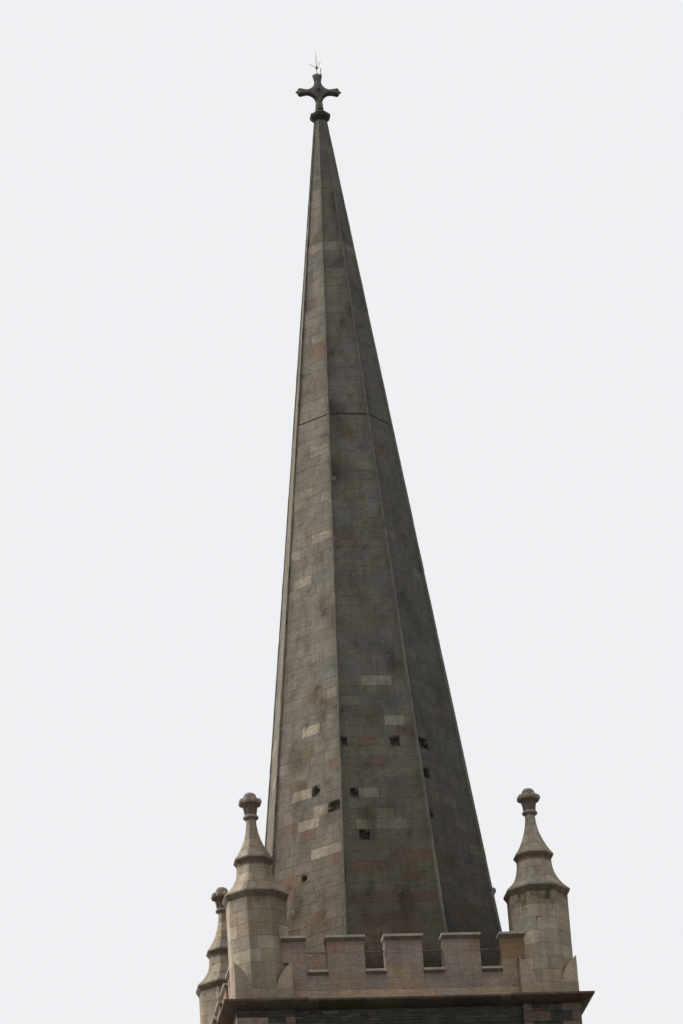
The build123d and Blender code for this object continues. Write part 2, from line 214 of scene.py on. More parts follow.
class CarvingSizes(bpy.types.PropertyGroup):
    """Sizes of the carved and turned pieces that the frame's boxes don't give."""
    arm: length_setting("Arm", "Reach of the cross's arms", 0.52)
    waist: length_setting("Waist", "Width of an arm where it is narrowest", 0.178)
    flare: length_setting("Flare", "Width of an arm at its end", 0.25)
    foot: length_setting("Foot", "Width of the cross at its foot", 0.22)
    sweep: length_setting("Sweep", "Radius between two arms", 0.21)
    splay: length_setting("Splay", "Width of the bevel along the cross", 0.063)
    ring: length_setting("Ring", "Radius of the ring under a finial", 0.173)
    lobe: length_setting("Lobe", "Radius of a lobe of a finial", 0.086)
    crown: length_setting("Crown", "Radius of the circle of lobes", 0.184)


class StoneColours(bpy.types.PropertyGroup):
    """Colours of the stones before they weather."""
    spire: colour_setting("Spire", "Ashlar of the spire on its front", (0.203, 0.184, 0.153))
    schist: colour_setting("Schist", "Thin-coursed rubble of the tower", (0.074, 0.073, 0.061))
    quoin: colour_setting("Quoins", "Dressed stones at the edges of the tower", (0.20, 0.165, 0.138))
    cornice: colour_setting("Cornice", "Sandstone of the cornice", (0.13, 0.098, 0.074))
    parapet: colour_setting("Parapet", "Pinkish sandstone of the parapet", (0.378, 0.300, 0.240))
    coping: colour_setting("Coping", "Pale stone of the copings", (0.59, 0.50, 0.405))
    pinnacle: colour_setting("Pinnacles", "Buff stone of the pinnacles", (0.52, 0.445, 0.345))
    finial: colour_setting("Finials", "Darker stone of the finials", (0.47, 0.385, 0.33))
    cross: colour_setting("Cross", "Carved stone of the cross", (0.20, 0.185, 0.155))
    collar: colour_setting("Collar", "Dark stone of the collar", (0.078, 0.075, 0.064))
    mortar: colour_setting("Mortar", "Mortar of the tower head", (0.20, 0.17, 0.14))


class StudioSettings(bpy.types.PropertyGroup):
    """Light and ground, which aren't part of the spire."""
    key: bpy.props.FloatProperty(
        name="Key", description="Strength of the soft light from the left", default=2.6)
    fill: bpy.props.FloatProperty(
        name="Fill", description="Strength of the weak light from the front", default=0.25)
    sky: bpy.props.FloatProperty(
        name="Sky", description="Strength of the light from all round", default=0.38)
    floor: colour_setting("Floor", "Colour of the floor", (0.90, 0.90, 0.89))


def sizes():
    """Sizes of the stones, which a user can change."""
    return bpy.context.scene.spire_sizes


def colours():
    """Colours of the stones, which a user can change."""
    return bpy.context.scene.spire_colours


# Materials

def feed(tree, socket, source):
    """Joins a socket to another one, or gives it a plain number, vector or colour."""
    if isinstance(source, bpy.types.NodeSocket):
        tree.links.new(source, socket)
    elif socket.type == "RGBA":
        socket.default_value = (*source, 1.0)
    else:
        socket.default_value = source


def node(tree, kind, **values):
    """A shader node with its settings and its inputs fed, set out in rows in the order of making."""
    made = tree.nodes.new(kind)
    row, column = divmod(len(tree.nodes), 8)
    made.location = (column * 220, row * -320)
    for name, value in values.items():
        if hasattr(made, name):
            setattr(made, name, value)
        else:
            feed(tree, made.inputs[name], value)
    return made


def mixed(tree, mode, amount, first, second):
    """Mix of two colours. Amount, first and second are sockets or plain values."""
    made = node(tree, "ShaderNodeMix", data_type="RGBA", blend_type=mode)
    for index, source in ((0, amount), (6, first), (7, second)):
        feed(tree, made.inputs[index], source)
    return made.outputs[2]


def maths(tree, operation, *sources):
    """Result of a sum over sources, each a socket or a number."""
    made = node(tree, "ShaderNodeMath", operation=operation)
    for socket, source in zip(made.inputs, sources):
        feed(tree, socket, source)
    return made.outputs[0]


def spread(tree, source, low, high, bottom=0.0, top=1.0):
    """A value stretched from one range to another and kept inside it."""
    made = node(tree, "ShaderNodeMapRange")
    for socket, value in zip(made.inputs, (source, low, high, bottom, top)):
        feed(tree, socket, value)
    return made.outputs[0]


def clouds(tree, coordinates, stretch, scale, detail, rough):
    """Noise over stretched coordinates."""
    mapping = node(tree, "ShaderNodeMapping", Scale=stretch, Vector=coordinates)
    return node(tree, "ShaderNodeTexNoise", Scale=scale, Detail=detail, Roughness=rough,
                Vector=mapping.outputs[0]).outputs[0]


def either(tree, share, first, second, output):
    """Feeds an output with one shader, or with the other one by its share."""
    both = node(tree, "ShaderNodeMixShader")
    for socket, source in zip(both.inputs, (share, first, second)):
        feed(tree, socket, source)
    feed(tree, tree.nodes[output].inputs["Surface"], both.outputs[0])


def new_material(name):
    """A new material, its nodes and its shader."""
    made = bpy.data.materials.new(name)
    made.use_nodes = True
    return made, made.node_tree, made.node_tree.nodes["Principled BSDF"]


def weathered_and_shaded_stone():
    """Shader group of natural stone: grain, bedding, pits, rain streaks, moss, ochre, and soot that also
    darkens where shade is painted.
    """
    if "weathered_and_shaded_stone" in bpy.data.node_groups:
        return bpy.data.node_groups["weathered_and_shaded_stone"]
    tree = bpy.data.node_groups.new("weathered_and_shaded_stone", "ShaderNodeTree")
    for name, kind, value in (("Tint", "Color", (0.3, 0.3, 0.3, 1)), ("Stain", "Color", (0, 0, 0, 1)),
                              ("Grain", "Float", 1.0), ("Bedding", "Float", 0.3), ("Pits", "Float", 0.5),
                              ("Streaks", "Float", 0.5), ("Roughness", "Float", 0.9)):
        socket = tree.interface.new_socket(name=name, in_out="INPUT", socket_type="NodeSocket" + kind)
        socket.default_value = value
    for name, kind in (("Color", "Color"), ("Roughness", "Float"), ("Height", "Float")):
        tree.interface.new_socket(name=name, in_out="OUTPUT", socket_type="NodeSocket" + kind)
    given = node(tree, "NodeGroupInput").outputs
    where = node(tree, "ShaderNodeTexCoord").outputs["Object"]
    stains = node(tree, "ShaderNodeSeparateColor", Color=given["Stain"])

    mottle = clouds(tree, where, (1, 1, 1), 1.7, 5, 0.6)
    blotch = clouds(tree, where, (1, 1, 1.6), 11, 4, 0.6)
    grain = clouds(tree, where, (1, 1, 1), 95, 5, 0.7)
    bands = clouds(tree, where, (0.35, 0.35, 3.2), 14, 4, 0.6)
    streaks = clouds(tree, where, (7, 7, 0.35), 1.6, 5, 0.65)
    patches = clouds(tree, where, (1, 1, 0.8), 5.5, 8, 0.72)
    pits = node(tree, "ShaderNodeTexVoronoi", Scale=46.0, Vector=where)

    shade = maths(tree, "MULTIPLY", spread(tree, mottle, 0.25, 0.75, 0.78, 1.22),
                  spread(tree, blotch, 0.2, 0.8, 0.76, 1.24))
    speck = spread(tree, grain, 0.25, 0.75, -0.30, 0.30)
    shade = maths(tree, "MULTIPLY", shade, maths(tree, "MULTIPLY_ADD", speck, given["Grain"], 1.0))
    layer = spread(tree, bands, 0.3, 0.7, -0.35, 0.35)
    shade = maths(tree, "MULTIPLY", shade, maths(tree, "MULTIPLY_ADD", layer, given["Bedding"], 1.0))
    hole = spread(tree, pits.outputs["Distance"], 0.10, 0.30, 1, 0)
    pit = maths(tree, "MULTIPLY", hole, spread(tree, patches, 0.48, 0.60))
    pit = maths(tree, "MULTIPLY", pit, given["Pits"])
    shade = maths(tree, "MULTIPLY", shade, spread(tree, pit, 0, 1, 1, 0.45))
    grey = node(tree, "ShaderNodeCombineColor", Red=shade, Green=shade, Blue=shade)
    colour = mixed(tree, "MULTIPLY", 1.0, given["Tint"], grey.outputs[0])

    damp = maths(tree, "MULTIPLY", stains.outputs[1], spread(tree, patches, 0.38, 0.6))
    colour = mixed(tree, "MIX", damp, colour, OCHRE)
    rain = maths(tree, "MULTIPLY", spread(tree, streaks, 0.45, 0.68), given["Streaks"])
    colour = mixed(tree, "MULTIPLY", rain, colour, RAIN)
    moss = maths(tree, "MULTIPLY", stains.outputs[0], spread(tree, patches, 0.40, 0.56))
    colour = mixed(tree, "MIX", moss, colour, mixed(tree, "MIX", blotch, DARK_MOSS, PALE_MOSS))
    # The soot share darkens alike for soot and for painted shade
    soot = maths(tree, "MULTIPLY", stains.outputs[2], spread(tree, blotch, 0.25, 0.65, 0.65, 1))
    colour = mixed(tree, "MULTIPLY", soot, colour, SOOT_AND_SHADE)

    height = maths(tree, "SUBTRACT", spread(tree, grain, 0.2, 0.8, 0, 0.35), spread(tree, pit, 0, 1, 0, 0.9))
    height = maths(tree, "MULTIPLY_ADD", layer, given["Bedding"], height)
    height = maths(tree, "ADD", height, spread(tree, blotch, 0.2, 0.8, 0, 0.5))
    rough = maths(tree, "SUBTRACT", given["Roughness"], spread(tree, grain, 0.3, 0.7, 0, 0.10))
    node(tree, "NodeGroupOutput", Color=colour, Roughness=rough, Height=height)
    return tree


def stone_material(name, grain=1.0, bedding=0.3, pits=0.5, streaks=0.5, depth=0.004):
    """Stone whose tint and stains are painted on the mesh."""
    if name in bpy.data.materials:
        return bpy.data.materials[name]
    made, tree, shader = new_material(name)
    tint, stain = [node(tree, "ShaderNodeAttribute", attribute_name=attribute).outputs["Color"]
                   for attribute in ("stone_tint", "stone_stain_and_shade")]
    group = node(tree, "ShaderNodeGroup", node_tree=weathered_and_shaded_stone(), Tint=tint, Stain=stain, Grain=grain,
                 Bedding=bedding, Pits=pits, Streaks=streaks, Roughness=STONE_ROUGHNESS).outputs
    bump = node(tree, "ShaderNodeBump", Strength=0.7, Distance=depth, Height=group["Height"])
    for socket, source in (("Specular IOR Level", STONE_SHEEN), ("Base Color", group["Color"]),
                           ("Roughness", group["Roughness"]), ("Normal", bump.outputs[0])):
        feed(tree, shader.inputs[socket], source)
    return made


def mortar_material():
    """Lime mortar with coarse sand, weathered back in the joints."""
    return stone_material("lime_mortar", grain=1.6, bedding=0.0, pits=0.9, streaks=0.3, depth=0.006)


def metal_material(name, colour, rust, amount, rough):
    """Old painted or bare metal with patches of rust."""
    made, tree, shader = new_material(name)
    where = node(tree, "ShaderNodeTexCoord").outputs["Object"]
    patches = clouds(tree, where, (1, 1, 1), 22, 6, 0.7)
    grain = clouds(tree, where, (1, 1, 1), 260, 3, 0.6)
    rusted = spread(tree, patches, 0.62 - amount / 2, 0.70 - amount / 3)
    bump = node(tree, "ShaderNodeBump", Strength=0.5, Distance=0.001,
                Height=maths(tree, "ADD", grain, rusted))
    for socket, source in (("Base Color", mixed(tree, "MIX", rusted, colour, rust)),
                           ("Roughness", spread(tree, rusted, 0, 1, rough, 0.92)),
                           ("Metallic", spread(tree, rusted, 0, 1, 0.85, 0.1)),
                           ("Normal", bump.outputs[0])):
        feed(tree, shader.inputs[socket], source)
    return made


# Laying stones

class Masonry:
    """A mesh while it is laid, with a tint, a stain and a finish for every shell."""

    def __init__(self):
        self.points, self.faces, self.finishes, self.tints, self.stains = [], [], [], [], []
        self.at = Matrix()

    def add(self, points, faces, tint, stain=CLEAN, finish=STONE):
        """Adds one closed shell. Its stain is the same all over, or one for each point."""
        first = len(self.points)
        self.points.extend(self.at @ point for point in points)
        self.faces.extend(tuple(first + corner for corner in face) for face in faces)
        self.finishes.extend([finish] * len(faces))
        self.tints.extend([tuple(tint)] * len(points))
        self.stains.extend(stain if isinstance(stain, list) else [stain] * len(points))

    def mesh(self, name):
        """Makes the mesh, with its finishes, tints and stains."""
        made = bpy.data.meshes.new(name)
        made.from_pydata(self.points, [], self.faces)
        made.polygons.foreach_set("material_index", self.finishes)
        made.polygons.foreach_set("use_smooth", [True] * len(self.faces))
        paint(made, self.tints, self.stains)
        made.set_sharp_from_angle(angle=SHARP)
        return made


def paint(mesh, tints, stains):
    """Stores a tint and a stain, whose soot share also carries painted shade, for every point of a mesh, as
    the stone materials read them.
    """
    for attribute, values in (("stone_tint", tints), ("stone_stain_and_shade", stains)):
        layer = mesh.color_attributes.new(attribute, "FLOAT_COLOR", "POINT")
        layer.data.foreach_set("color", [channel for value in values for channel in (*value, 1.0)])


def put(name, data):
    """Puts a new object in the scene."""
    made = bpy.data.objects.new(name, data)
    bpy.context.scene.collection.objects.link(made)
    return made


def place_piece(name, shape, materials, nodes):
    """Puts a laid or carved piece in the scene, in place of the nodes that it stands for."""
    mesh = shape.mesh(name) if isinstance(shape, Masonry) else shape
    for material in materials:
        mesh.materials.append(material)
    piece = put(name, mesh)
    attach(piece, "root")
    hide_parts(*nodes)
    return piece


def place_sides(part, seed, lay_side, stone):
    """Lays a piece on each side of the tower and puts it in the scene."""
    rng = random.Random(seed)
    for side, name in enumerate(SIDES):
        work = Masonry()
        lay_side(work, rng, side)
        place_piece(f"{part}_{name}_stones", work, [stone, mortar_material()], [f"{part}_{name}"])


def facing(side):
    """Turn that brings a shape laid on the front to a side of the tower."""
    return Matrix.Rotation(side * pi / 2, 4, "Z")


def shaded(rng, colour, level, warmth=0.03):
    """A colour made a little lighter or darker and a little warmer or cooler by chance."""
    share = 1 + rng.uniform(-level, level)
    warm = rng.uniform(-warmth, warmth)
    return (colour[0] * share * (1 + warm), colour[1] * share, colour[2] * share * (1 - warm))


def toned(colour, tone):
    """A colour multiplied by another, or by one number."""
    if isinstance(tone, (int, float)):
        tone = (tone, tone, tone)
    return tuple(channel * share for channel, share in zip(colour, tone))


def ring_faces(rings, around):
    """Faces between closed rings of points, with both ends closed, facing outwards."""
    faces = [tuple(reversed(range(around))), tuple(range((rings - 1) * around, rings * around))]
    for ring in range(rings - 1):
        low, high = ring * around, (ring + 1) * around
        for here in range(around):
            after = (here + 1) % around
            faces.append((low + here, low + after, high + after, high + here))
    return faces


def sheet_faces(rows, columns):
    """Faces of a grid with one more face that closes it at the back."""
    faces = []
    for row in range(rows - 1):
        for column in range(columns - 1):
            corner = row * columns + column
            faces.append((corner, corner + 1, corner + columns + 1, corner + columns))
    rim = list(range(columns)) + [row * columns + columns - 1 for row in range(1, rows)]
    rim += [(rows - 1) * columns + column for column in range(columns - 2, -1, -1)]
    rim += [row * columns for row in range(rows - 2, 0, -1)]
    faces.append(tuple(reversed(rim)))
    return faces


def divide(start, end, bends, step, edge):
    """Places between two ends: three about each bend, and more along a long stretch."""
    stops = [start, *bends, end]
    places = []
    for index, (here, after) in enumerate(zip(stops, stops[1:])):
        low, high = here, after
        if index:
            low = here + edge
            places += [here, low]
        if index < len(bends):
            high = after - edge
        parts = max(1, round((high - low) / step))
        places += [low + (high - low) * part / parts for part in range(1, parts)]
        if index < len(bends):
            places.append(high)
    return places


def lay(work, rng, place, across, up, dressing, tint, stain=CLEAN, bends=(), rows=(), metre=None, lift=0.0,
        hole=None):
    """Lays one facing stone between two limits across and two up, and closes it at the back.

    place turns across, up and proud into a point. A limit across may be a pair, at the foot and the top.
    metre tells how long one unit across is at a height, rows are heights where the face bends, and hole
    tells how deep the face is hollowed at a place.
    """
    left, right = [limit if isinstance(limit, tuple) else (limit, limit) for limit in across]
    foot, top = up
    joint, bevel, depth, relief, step, chips = dressing
    edge = joint + bevel
    middle = metre((foot + top) / 2) if metre else 1.0
    inner = divide(left[0], right[0], bends, step / middle, (depth + 0.002) / middle)
    shares = [(where - left[0]) / (right[0] - left[0]) for where in inner]
    splits = max(1, round((top - foot) / step))
    inner_rows = list(rows) or [foot + (top - foot) * part / splits for part in range(1, splits)]
    heights = [foot + joint, foot + edge, *inner_rows, top - edge, top - joint]
    lean, seed = rng.uniform(-relief, relief) / 2, rng.uniform(0, 100)
    points = []
    for row, height in enumerate(heights):
        share = (height - foot) / (top - foot)
        start, end = left[0] + (left[1] - left[0]) * share, right[0] + (right[1] - right[0]) * share
        unit = metre(height) if metre else 1.0
        within = inner if bends else [start + (end - start) * part for part in shares]
        line = [start + joint / unit, start + edge / unit, *within, end - edge / unit, end - joint / unit]
        for column, where in enumerate(line):
            if row in (0, len(heights) - 1) or column in (0, len(line) - 1):
                points.append([where, height, -depth])
                continue
            rough = relief * noise.noise(Vector((where * middle * 5, height * 5, seed)))
            worn = hole(where, height) if hole else 0.35 * depth if where in bends else 0
            points.append([where, height, lift + rough + lean - worn])
    columns = len(line)
    if chips:
        break_corners(rng, points, len(heights), columns, chips, middle)
    each = [stain(where, height) for where, height, _ in points] if callable(stain) else stain
    work.add([place(*point) for point in points], sheet_faces(len(heights), columns), tint, each)


def break_corners(rng, points, rows, columns, chance, unit):
    """Moves some corners of a stone's face in and back, as if they had broken off."""
    for row, side in ((1, 1), (1, -1), (rows - 2, 1), (rows - 2, -1)):
        if rng.random() > chance:
            continue
        column = 1 if side == 1 else columns - 2
        size = rng.uniform(0.010, 0.030)
        corner = points[row * columns + column]
        corner[0] += side * size / unit
        corner[1] += size / 2 if row == 1 else -size / 2
        corner[2] -= size / 4


def inset(plan, distance):
    """Plan, drawn anticlockwise, with every side moved in by a distance."""
    count = len(plan)
    moved = []
    for index in range(count):
        before, here, after = plan[index - 1], plan[index], plan[(index + 1) % count]
        first = Vector((here[1] - before[1], before[0] - here[0])).normalized()
        second = Vector((after[1] - here[1], here[0] - after[0])).normalized()
        mitre = (first + second) / (1 + first.dot(second))
        moved.append((here[0] - mitre.x * distance, here[1] - mitre.y * distance))
    return moved


def worn_outline(plan, size, parts):
    """Plan with its corners cut off and each side divided into as many parts as told."""
    outline = []
    for index, count in enumerate(parts):
        here, after = Vector(plan[index]), Vector(plan[(index + 1) % len(plan)])
        cut = min(0.3, size / (after - here).length)
        outline.append(here.lerp(after, cut))
        outline.extend(here.lerp(after, part / count) for part in range(1, count))
        outline.append(here.lerp(after, 1 - cut))
    return outline


def block(work, rng, levels, dressing, tint, stain=CLEAN):
    """Lays a block between rising plans that have as many corners, with all its edges worn."""
    joint, bevel, _, relief, step, _ = dressing
    (foot, first), (top, last) = levels[0], levels[-1]
    between = [(height, inset(plan, joint)) for height, plan in levels[1:-1]]
    rings = [(foot + joint + bevel, inset(first, joint)), *between,
             (top - joint - bevel, inset(last, joint))]
    filled = [rings[0]]
    for (low, lower), (high, upper) in zip(rings, rings[1:]):
        parts = max(1, round((high - low) / step))
        for part in range(1, parts + 1):
            share = part / parts
            plan = [tuple(Vector(one).lerp(Vector(two), share)) for one, two in zip(lower, upper)]
            filled.append((low + (high - low) * share, plan))
    rings = [(foot + joint, inset(first, joint + bevel)), *filled, (top - joint, inset(last, joint + bevel))]
    lengths = [(Vector(first[(index + 1) % len(first)]) - Vector(first[index])).length
               for index in range(len(first))]
    parts = [max(1, round(length / step)) for length in lengths]
    seed = Vector((rng.uniform(0, 50), rng.uniform(0, 50), rng.uniform(0, 50)))
    points = []
    for height, plan in rings:
        outline = worn_outline(plan, bevel, parts)
        for spot in outline:
            push = noise.noise_vector(Vector((spot.x * 4, spot.y * 4, height * 4)) + seed) * relief
            points.append(Vector((spot.x + push.x, spot.y + push.y, height)))
    each = [stain(point) for point in points] if callable(stain) else stain
    work.add(points, ring_faces(len(rings), len(outline)), tint, each)


def core(work, levels, tint):
    """Lays a plain solid between rising plans, as the mortar behind the stones."""
    points = [Vector((x, y, height)) for height, plan in levels for x, y in plan]
    work.add(points, ring_faces(len(levels), len(levels[0][1])), tint, finish=MORTAR)


def mould(work, rng, place, run, section, dressing, tint, stain=CLEAN, bends=()):
    """Lays a moulded stone: a section of proud and height, drawn anticlockwise, carried along a run."""
    joint, bevel, _, relief, step, _ = dressing
    start, end = run
    parts = [1] * len(section)
    whole = worn_outline(inset(section, joint), bevel, parts)
    worn = worn_outline(inset(section, joint + bevel), bevel, parts)
    clear = max(abs(proud) for proud, _ in section)
    stops = [start + joint + bevel, *bends, end - joint - bevel]
    places = [stops[0]]
    for here, after in zip(stops, stops[1:]):
        count = max(1, round((after - here) / step))
        between = [here + (after - here) * part / count for part in range(1, count)]
        places += [spot for spot in between if all(abs(spot - bend) > clear for bend in bends)] + [after]
    rings = [(start + joint, worn), *[(where, whole) for where in places], (end - joint, worn)]
    seed = rng.uniform(0, 100)
    points, each = [], []
    for where, outline in rings:
        for proud, height in reversed(outline):
            rough = relief * noise.noise(Vector((where * 4, height * 7, seed)))
            points.append(place(where, height + rough / 2, proud + rough))
            each.append(stain(where, height) if callable(stain) else stain)
    work.add(points, ring_faces(len(rings), len(whole)), tint, each)


def turned(work, profile, around, flutes=0, groove=0.0):
    """Lays a turned form about the Z axis from radii and heights, fluted where told."""
    points = []
    for radius, height in profile:
        for index in range(around):
            turn = 2 * pi * index / around
            reach = radius * (1 - groove * (0.5 + 0.5 * cos(flutes * turn)))
            points.append(Vector((reach * cos(turn), reach * sin(turn), height)))
    work.add(points, ring_faces(len(profile), around), ROUGH)


def rectangle(left, right, front, back):
    """Plan of a straight block, drawn anticlockwise."""
    return [(left, front), (right, front), (right, back), (left, back)]


def octagon(half):
    """Plan of an octagon by half its width across flats."""
    radius = half / cos(EIGHTH / 2)
    turns = [EIGHTH * (index + 0.5) for index in range(8)]
    return [(radius * cos(turn), radius * sin(turn)) for turn in turns]


def stone_ends(rng, start, end, usual, avoid=(), fixed=()):
    """Ends of the stones that fill a course, out of line with the joints below and round fixed stones."""
    spans, here = [], start

    def fill(left, right):
        spans.extend((one, two, "plain") for one, two in random_spans(rng, left, right, usual, avoid))
    for left, right, kind in fixed:
        left, right = max(here, left), min(end, right)
        if left - here < usual * 0.22:
            left = here
        if end - right < usual * 0.22:
            right = end
        if left > here:
            fill(here, left)
        spans.append((left, right, kind))
        here = right
    if here < end:
        fill(here, end)
    return spans


def random_spans(rng, start, end, usual, avoid):
    """Neighbouring spans of uneven length whose joints keep away from some places."""
    best, best_score = [], -1
    for _ in range(7):
        count = max(1, round((end - start) / usual + rng.uniform(-0.4, 0.4)))
        weights = [rng.uniform(0.65, 1.35) for _ in range(count)]
        cuts = [start]
        for weight in weights[:-1]:
            cuts.append(cuts[-1] + (end - start) * weight / sum(weights))
        cuts.append(end)
        score = min([abs(cut - other) for cut in cuts[1:-1] for other in avoid] or [1])
        if score > best_score:
            best, best_score = cuts, score
        if score > usual * 0.2:
            break
    return list(zip(best, best[1:]))


# Places on the frame

def spire_half(height):
    """Half the spire's width across flats at a height."""
    return SPIRE_HALF - TAPER * (height - SPIRE_FOOT)


def rib_half(height):
    """Half a rib's width at a height."""
    share = (height - SPIRE_FOOT) / (SPIRE_TOP - SPIRE_FOOT)
    return (sizes().rib_foot + (sizes().rib_neck - sizes().rib_foot) * share) / 2


def side_edge(height):
    """How far a side of the spire reaches from its middle to the edge of a rib."""
    return spire_half(height) * SLOPE - rib_half(height) / cos(EIGHTH / 2)


def on_spire(turn):
    """Mapping of across, height and proud onto one slanting side of the spire."""
    def place(across, height, proud):
        out = spire_half(height) + proud * cos(TILT)
        return Vector((across * cos(turn) + out * sin(turn), across * sin(turn) - out * cos(turn),
                       height + proud * sin(TILT)))
    return place


def on_octagon(radius):
    """Mapping of facets, height and proud onto an octagon whose half width follows its height."""
    def place(facets, height, proud):
        facet = floor(facets + 1e-9)
        out = radius(height) + proud
        across = (facets - facet - 0.5) * 2 * out * SLOPE
        turn = facet * EIGHTH
        return Vector((across * cos(turn) + out * sin(turn), across * sin(turn) - out * cos(turn), height))
    return place


def wall_plan(proud):
    """Plan of the tower's outer faces, moved out by a distance, anticlockwise from the front left corner."""
    outer, edge = WALL_OUT + proud, PILASTER_EDGE - proud
    face = outer - sizes().pilaster
    front = [(-outer, -outer), (-edge, -outer), (-edge, -face), (edge, -face), (edge, -outer)]
    return [tuple(Matrix.Rotation(turn * pi / 2, 2) @ Vector(spot)) for turn in range(4) for spot in front]


def run_length():
    """Length of one side of the tower, along its pilasters and their returns."""
    return 2 * (WALL_OUT + sizes().pilaster)


def side_stops():
    """Runs along one side where its outline turns: both returns of both pilasters."""
    width, proud = WALL_OUT - PILASTER_EDGE, sizes().pilaster
    far = run_length() - width
    return width, width + proud, far - proud, far


def on_tower():
    """Mapping of a run along the tower's outline, height and proud, mitred at its corners."""
    plan = [Vector(spot) for spot in wall_plan(0)]
    count = len(plan)
    starts = [0.0]
    for index in range(count):
        starts.append(starts[-1] + (plan[(index + 1) % count] - plan[index]).length)

    def place(run, height, proud):
        run = run % starts[-1]
        if starts[-1] - run < 1e-5:
            run = 0.0
        index = max(number for number in range(count) if starts[number] <= run + 1e-6)
        along = (plan[(index + 1) % count] - plan[index]).normalized()
        out = Vector((along.y, -along.x))
        spot = plan[index] + along * (run - starts[index]) + out * proud
        if abs(run - starts[index]) < 1e-5:
            before = (plan[index] - plan[index - 1]).normalized()
            first = Vector((before.y, -before.x))
            spot = plan[index] + (first + out) / (1 + first.dot(out)) * proud
        return Vector((spot.x, spot.y, height))
    return place


def arc_through(one, two, three):
    """Centre and radius of the arc through three points of reach and height."""
    first, second = Vector(two) - Vector(one), Vector(three) - Vector(one)
    cross = 2 * (first.x * second.y - first.y * second.x)
    shift = Vector((second.y * first.length_squared - first.y * second.length_squared,
                    first.x * second.length_squared - second.x * first.length_squared)) / cross
    return Vector(one) + shift, shift.length


def hollow(one, two, three):
    """Radius as a function of height along a hollow arc through three points of radius and height."""
    centre, bend = arc_through(one, two, three)

    def radius(height):
        return centre.x - sqrt(max(0.0, bend * bend - (height - centre.y) ** 2))
    return radius


# Tower walls

# Quoins of a side in every second course: at its left corner, both inner edges and its right corner
QUOINS = ((0.26, 0.44, 0.19, 0.42), (0.68, 0.21, 0.60, 0.20))
TOP_QUOIN = 0.165

# Least and greatest height and length of the rubble stones, and the last bed that isn't split again
THIN_COURSE, THIN_STONE = (0.034, 0.082), (0.20, 0.34)
LAST_BED = 0.09


def schist_tint(rng):
    """Colour of one rubble stone: mostly dark grey-green, some brown or paler."""
    kind = rng.random()
    tone = 1.0
    if kind < 0.12:
        tone = (1.5, 1.25, 1.05)
    elif kind < 0.22:
        tone = 1.6
    return toned(shaded(rng, colours().schist, 0.28, 0.05), tone)


def lay_rubble(work, rng, place, across, up):
    """Fills a panel of wall with thin courses of rubble."""
    heights = [up[0]]
    while up[1] - heights[-1] > LAST_BED:
        heights.append(heights[-1] + rng.uniform(*THIN_COURSE))
    heights.append(up[1])
    joints = ()
    for foot, top in zip(heights, heights[1:]):
        spans = random_spans(rng, across[0], across[1], rng.uniform(*THIN_STONE), joints)
        joints = tuple(end for _, end in spans[:-1])
        for start, end in spans:
            lay(work, rng, place, (start, end), (foot, top), RUBBLE, schist_tint(rng), lift=-0.004)


def quoin_tint(rng, kind):
    """Colour of one dressed stone of the tower, which is mostly of one kind."""
    if kind == "brown":
        kind = rng.choice(("brown", "brown", "plain"))
    return shaded(rng, toned(colours().quoin, CASTS[kind]), 0.10)


def lay_tower_side(work, rng, side):
    """Lays one side of the tower head: dressed quoins about thin-coursed rubble."""
    place, first = on_tower(), side * run_length()
    near, wall, far_wall, far = [first + stop for stop in side_stops()]
    end = first + run_length()
    lay_wall_core(work, side)
    courses = round(WALL_TOP / sizes().quoin)
    beds = [(WALL_TOP - TOP_QUOIN) * index / (courses - 1) for index in range(courses)] + [WALL_TOP]
    for course, up in enumerate(zip(beds, beds[1:])):
        below = courses - 1 - course
        left_corner, left_edge, right_edge, right_corner = QUOINS[below % 2]
        beyond = left_corner
        quoins = []
        if below == 0 and side == 0:
            left_corner = left_edge = 0.0
            lay_rubble(work, rng, place, (near, wall), up)
        else:
            quoins.append((near - left_edge, wall, near, "brown"))
        if below == 0 and side == 3:
            right_corner = 0.0
        else:
            kind = "pink" if side == 0 else "pale" if below % 2 else "light"
            quoins.append((end - right_corner, end + beyond, end, kind))
        quoins.append((far_wall, far + right_edge, far, "brown"))
        for start, stop, bend, kind in quoins:
            lay(work, rng, place, (start, stop), up, QUOIN, quoin_tint(rng, kind), bends=(bend,))
        lay_rubble(work, rng, place, (first + left_corner, near - left_edge), up)
        lay_rubble(work, rng, place, (far + right_edge, end - right_corner), up)
    lay_rubble(work, rng, place, (wall, far_wall), (0, WALL_TOP))


def lay_wall_core(work, side):
    """Lays the body of one wall behind its facing stones, mitred to its neighbours."""
    plan = wall_plan(-MORTAR_DEPTH * 3)
    outer = [plan[(side * 5 + index) % 20] for index in range(6)]
    turn = Matrix.Rotation(side * pi / 2, 2)
    inner = [tuple(turn @ Vector((x * WALL_IN, -WALL_IN))) for x in (1, -1)]
    core(work, [(0, outer + inner), (WALL_TOP, outer + inner)], toned(colours().mortar, 0.45))


class SPIRE_OT_lay_tower_walls(bpy.types.Operator):
    """Lay the rubble and quoins of the tower head"""
    bl_idname = "spire.lay_tower_walls"
    bl_label = "Tower walls"

    def execute(self, context):
        stone = stone_material("schist_and_quoins", bedding=1.0, streaks=0.35, depth=0.006)
        place_sides("tower_wall", "tower walls", lay_tower_side, stone)
        return {"FINISHED"}


# Cornice

# Joints along one side, from its left corner
CORNICE_JOINTS = (0.52, 1.85, 2.86, 3.74, 4.80, 5.80, 7.10)
CORNICE_DEPTH = 0.24
FLAG = 0.72

# The corners of the cornice are paler than its middle
CORNER_SHADE, MIDDLE_SHADE, CORNER_SHARE = 1.45, 0.85, 0.27


def cornice_soot_and_shade(_, height):
    """Soot and painted shade under the splay of the cornice."""
    under = height < CORNICE_TOP - sizes().fillet - 0.004
    return (0.12, 0.0, 0.75 if under else 0.12)


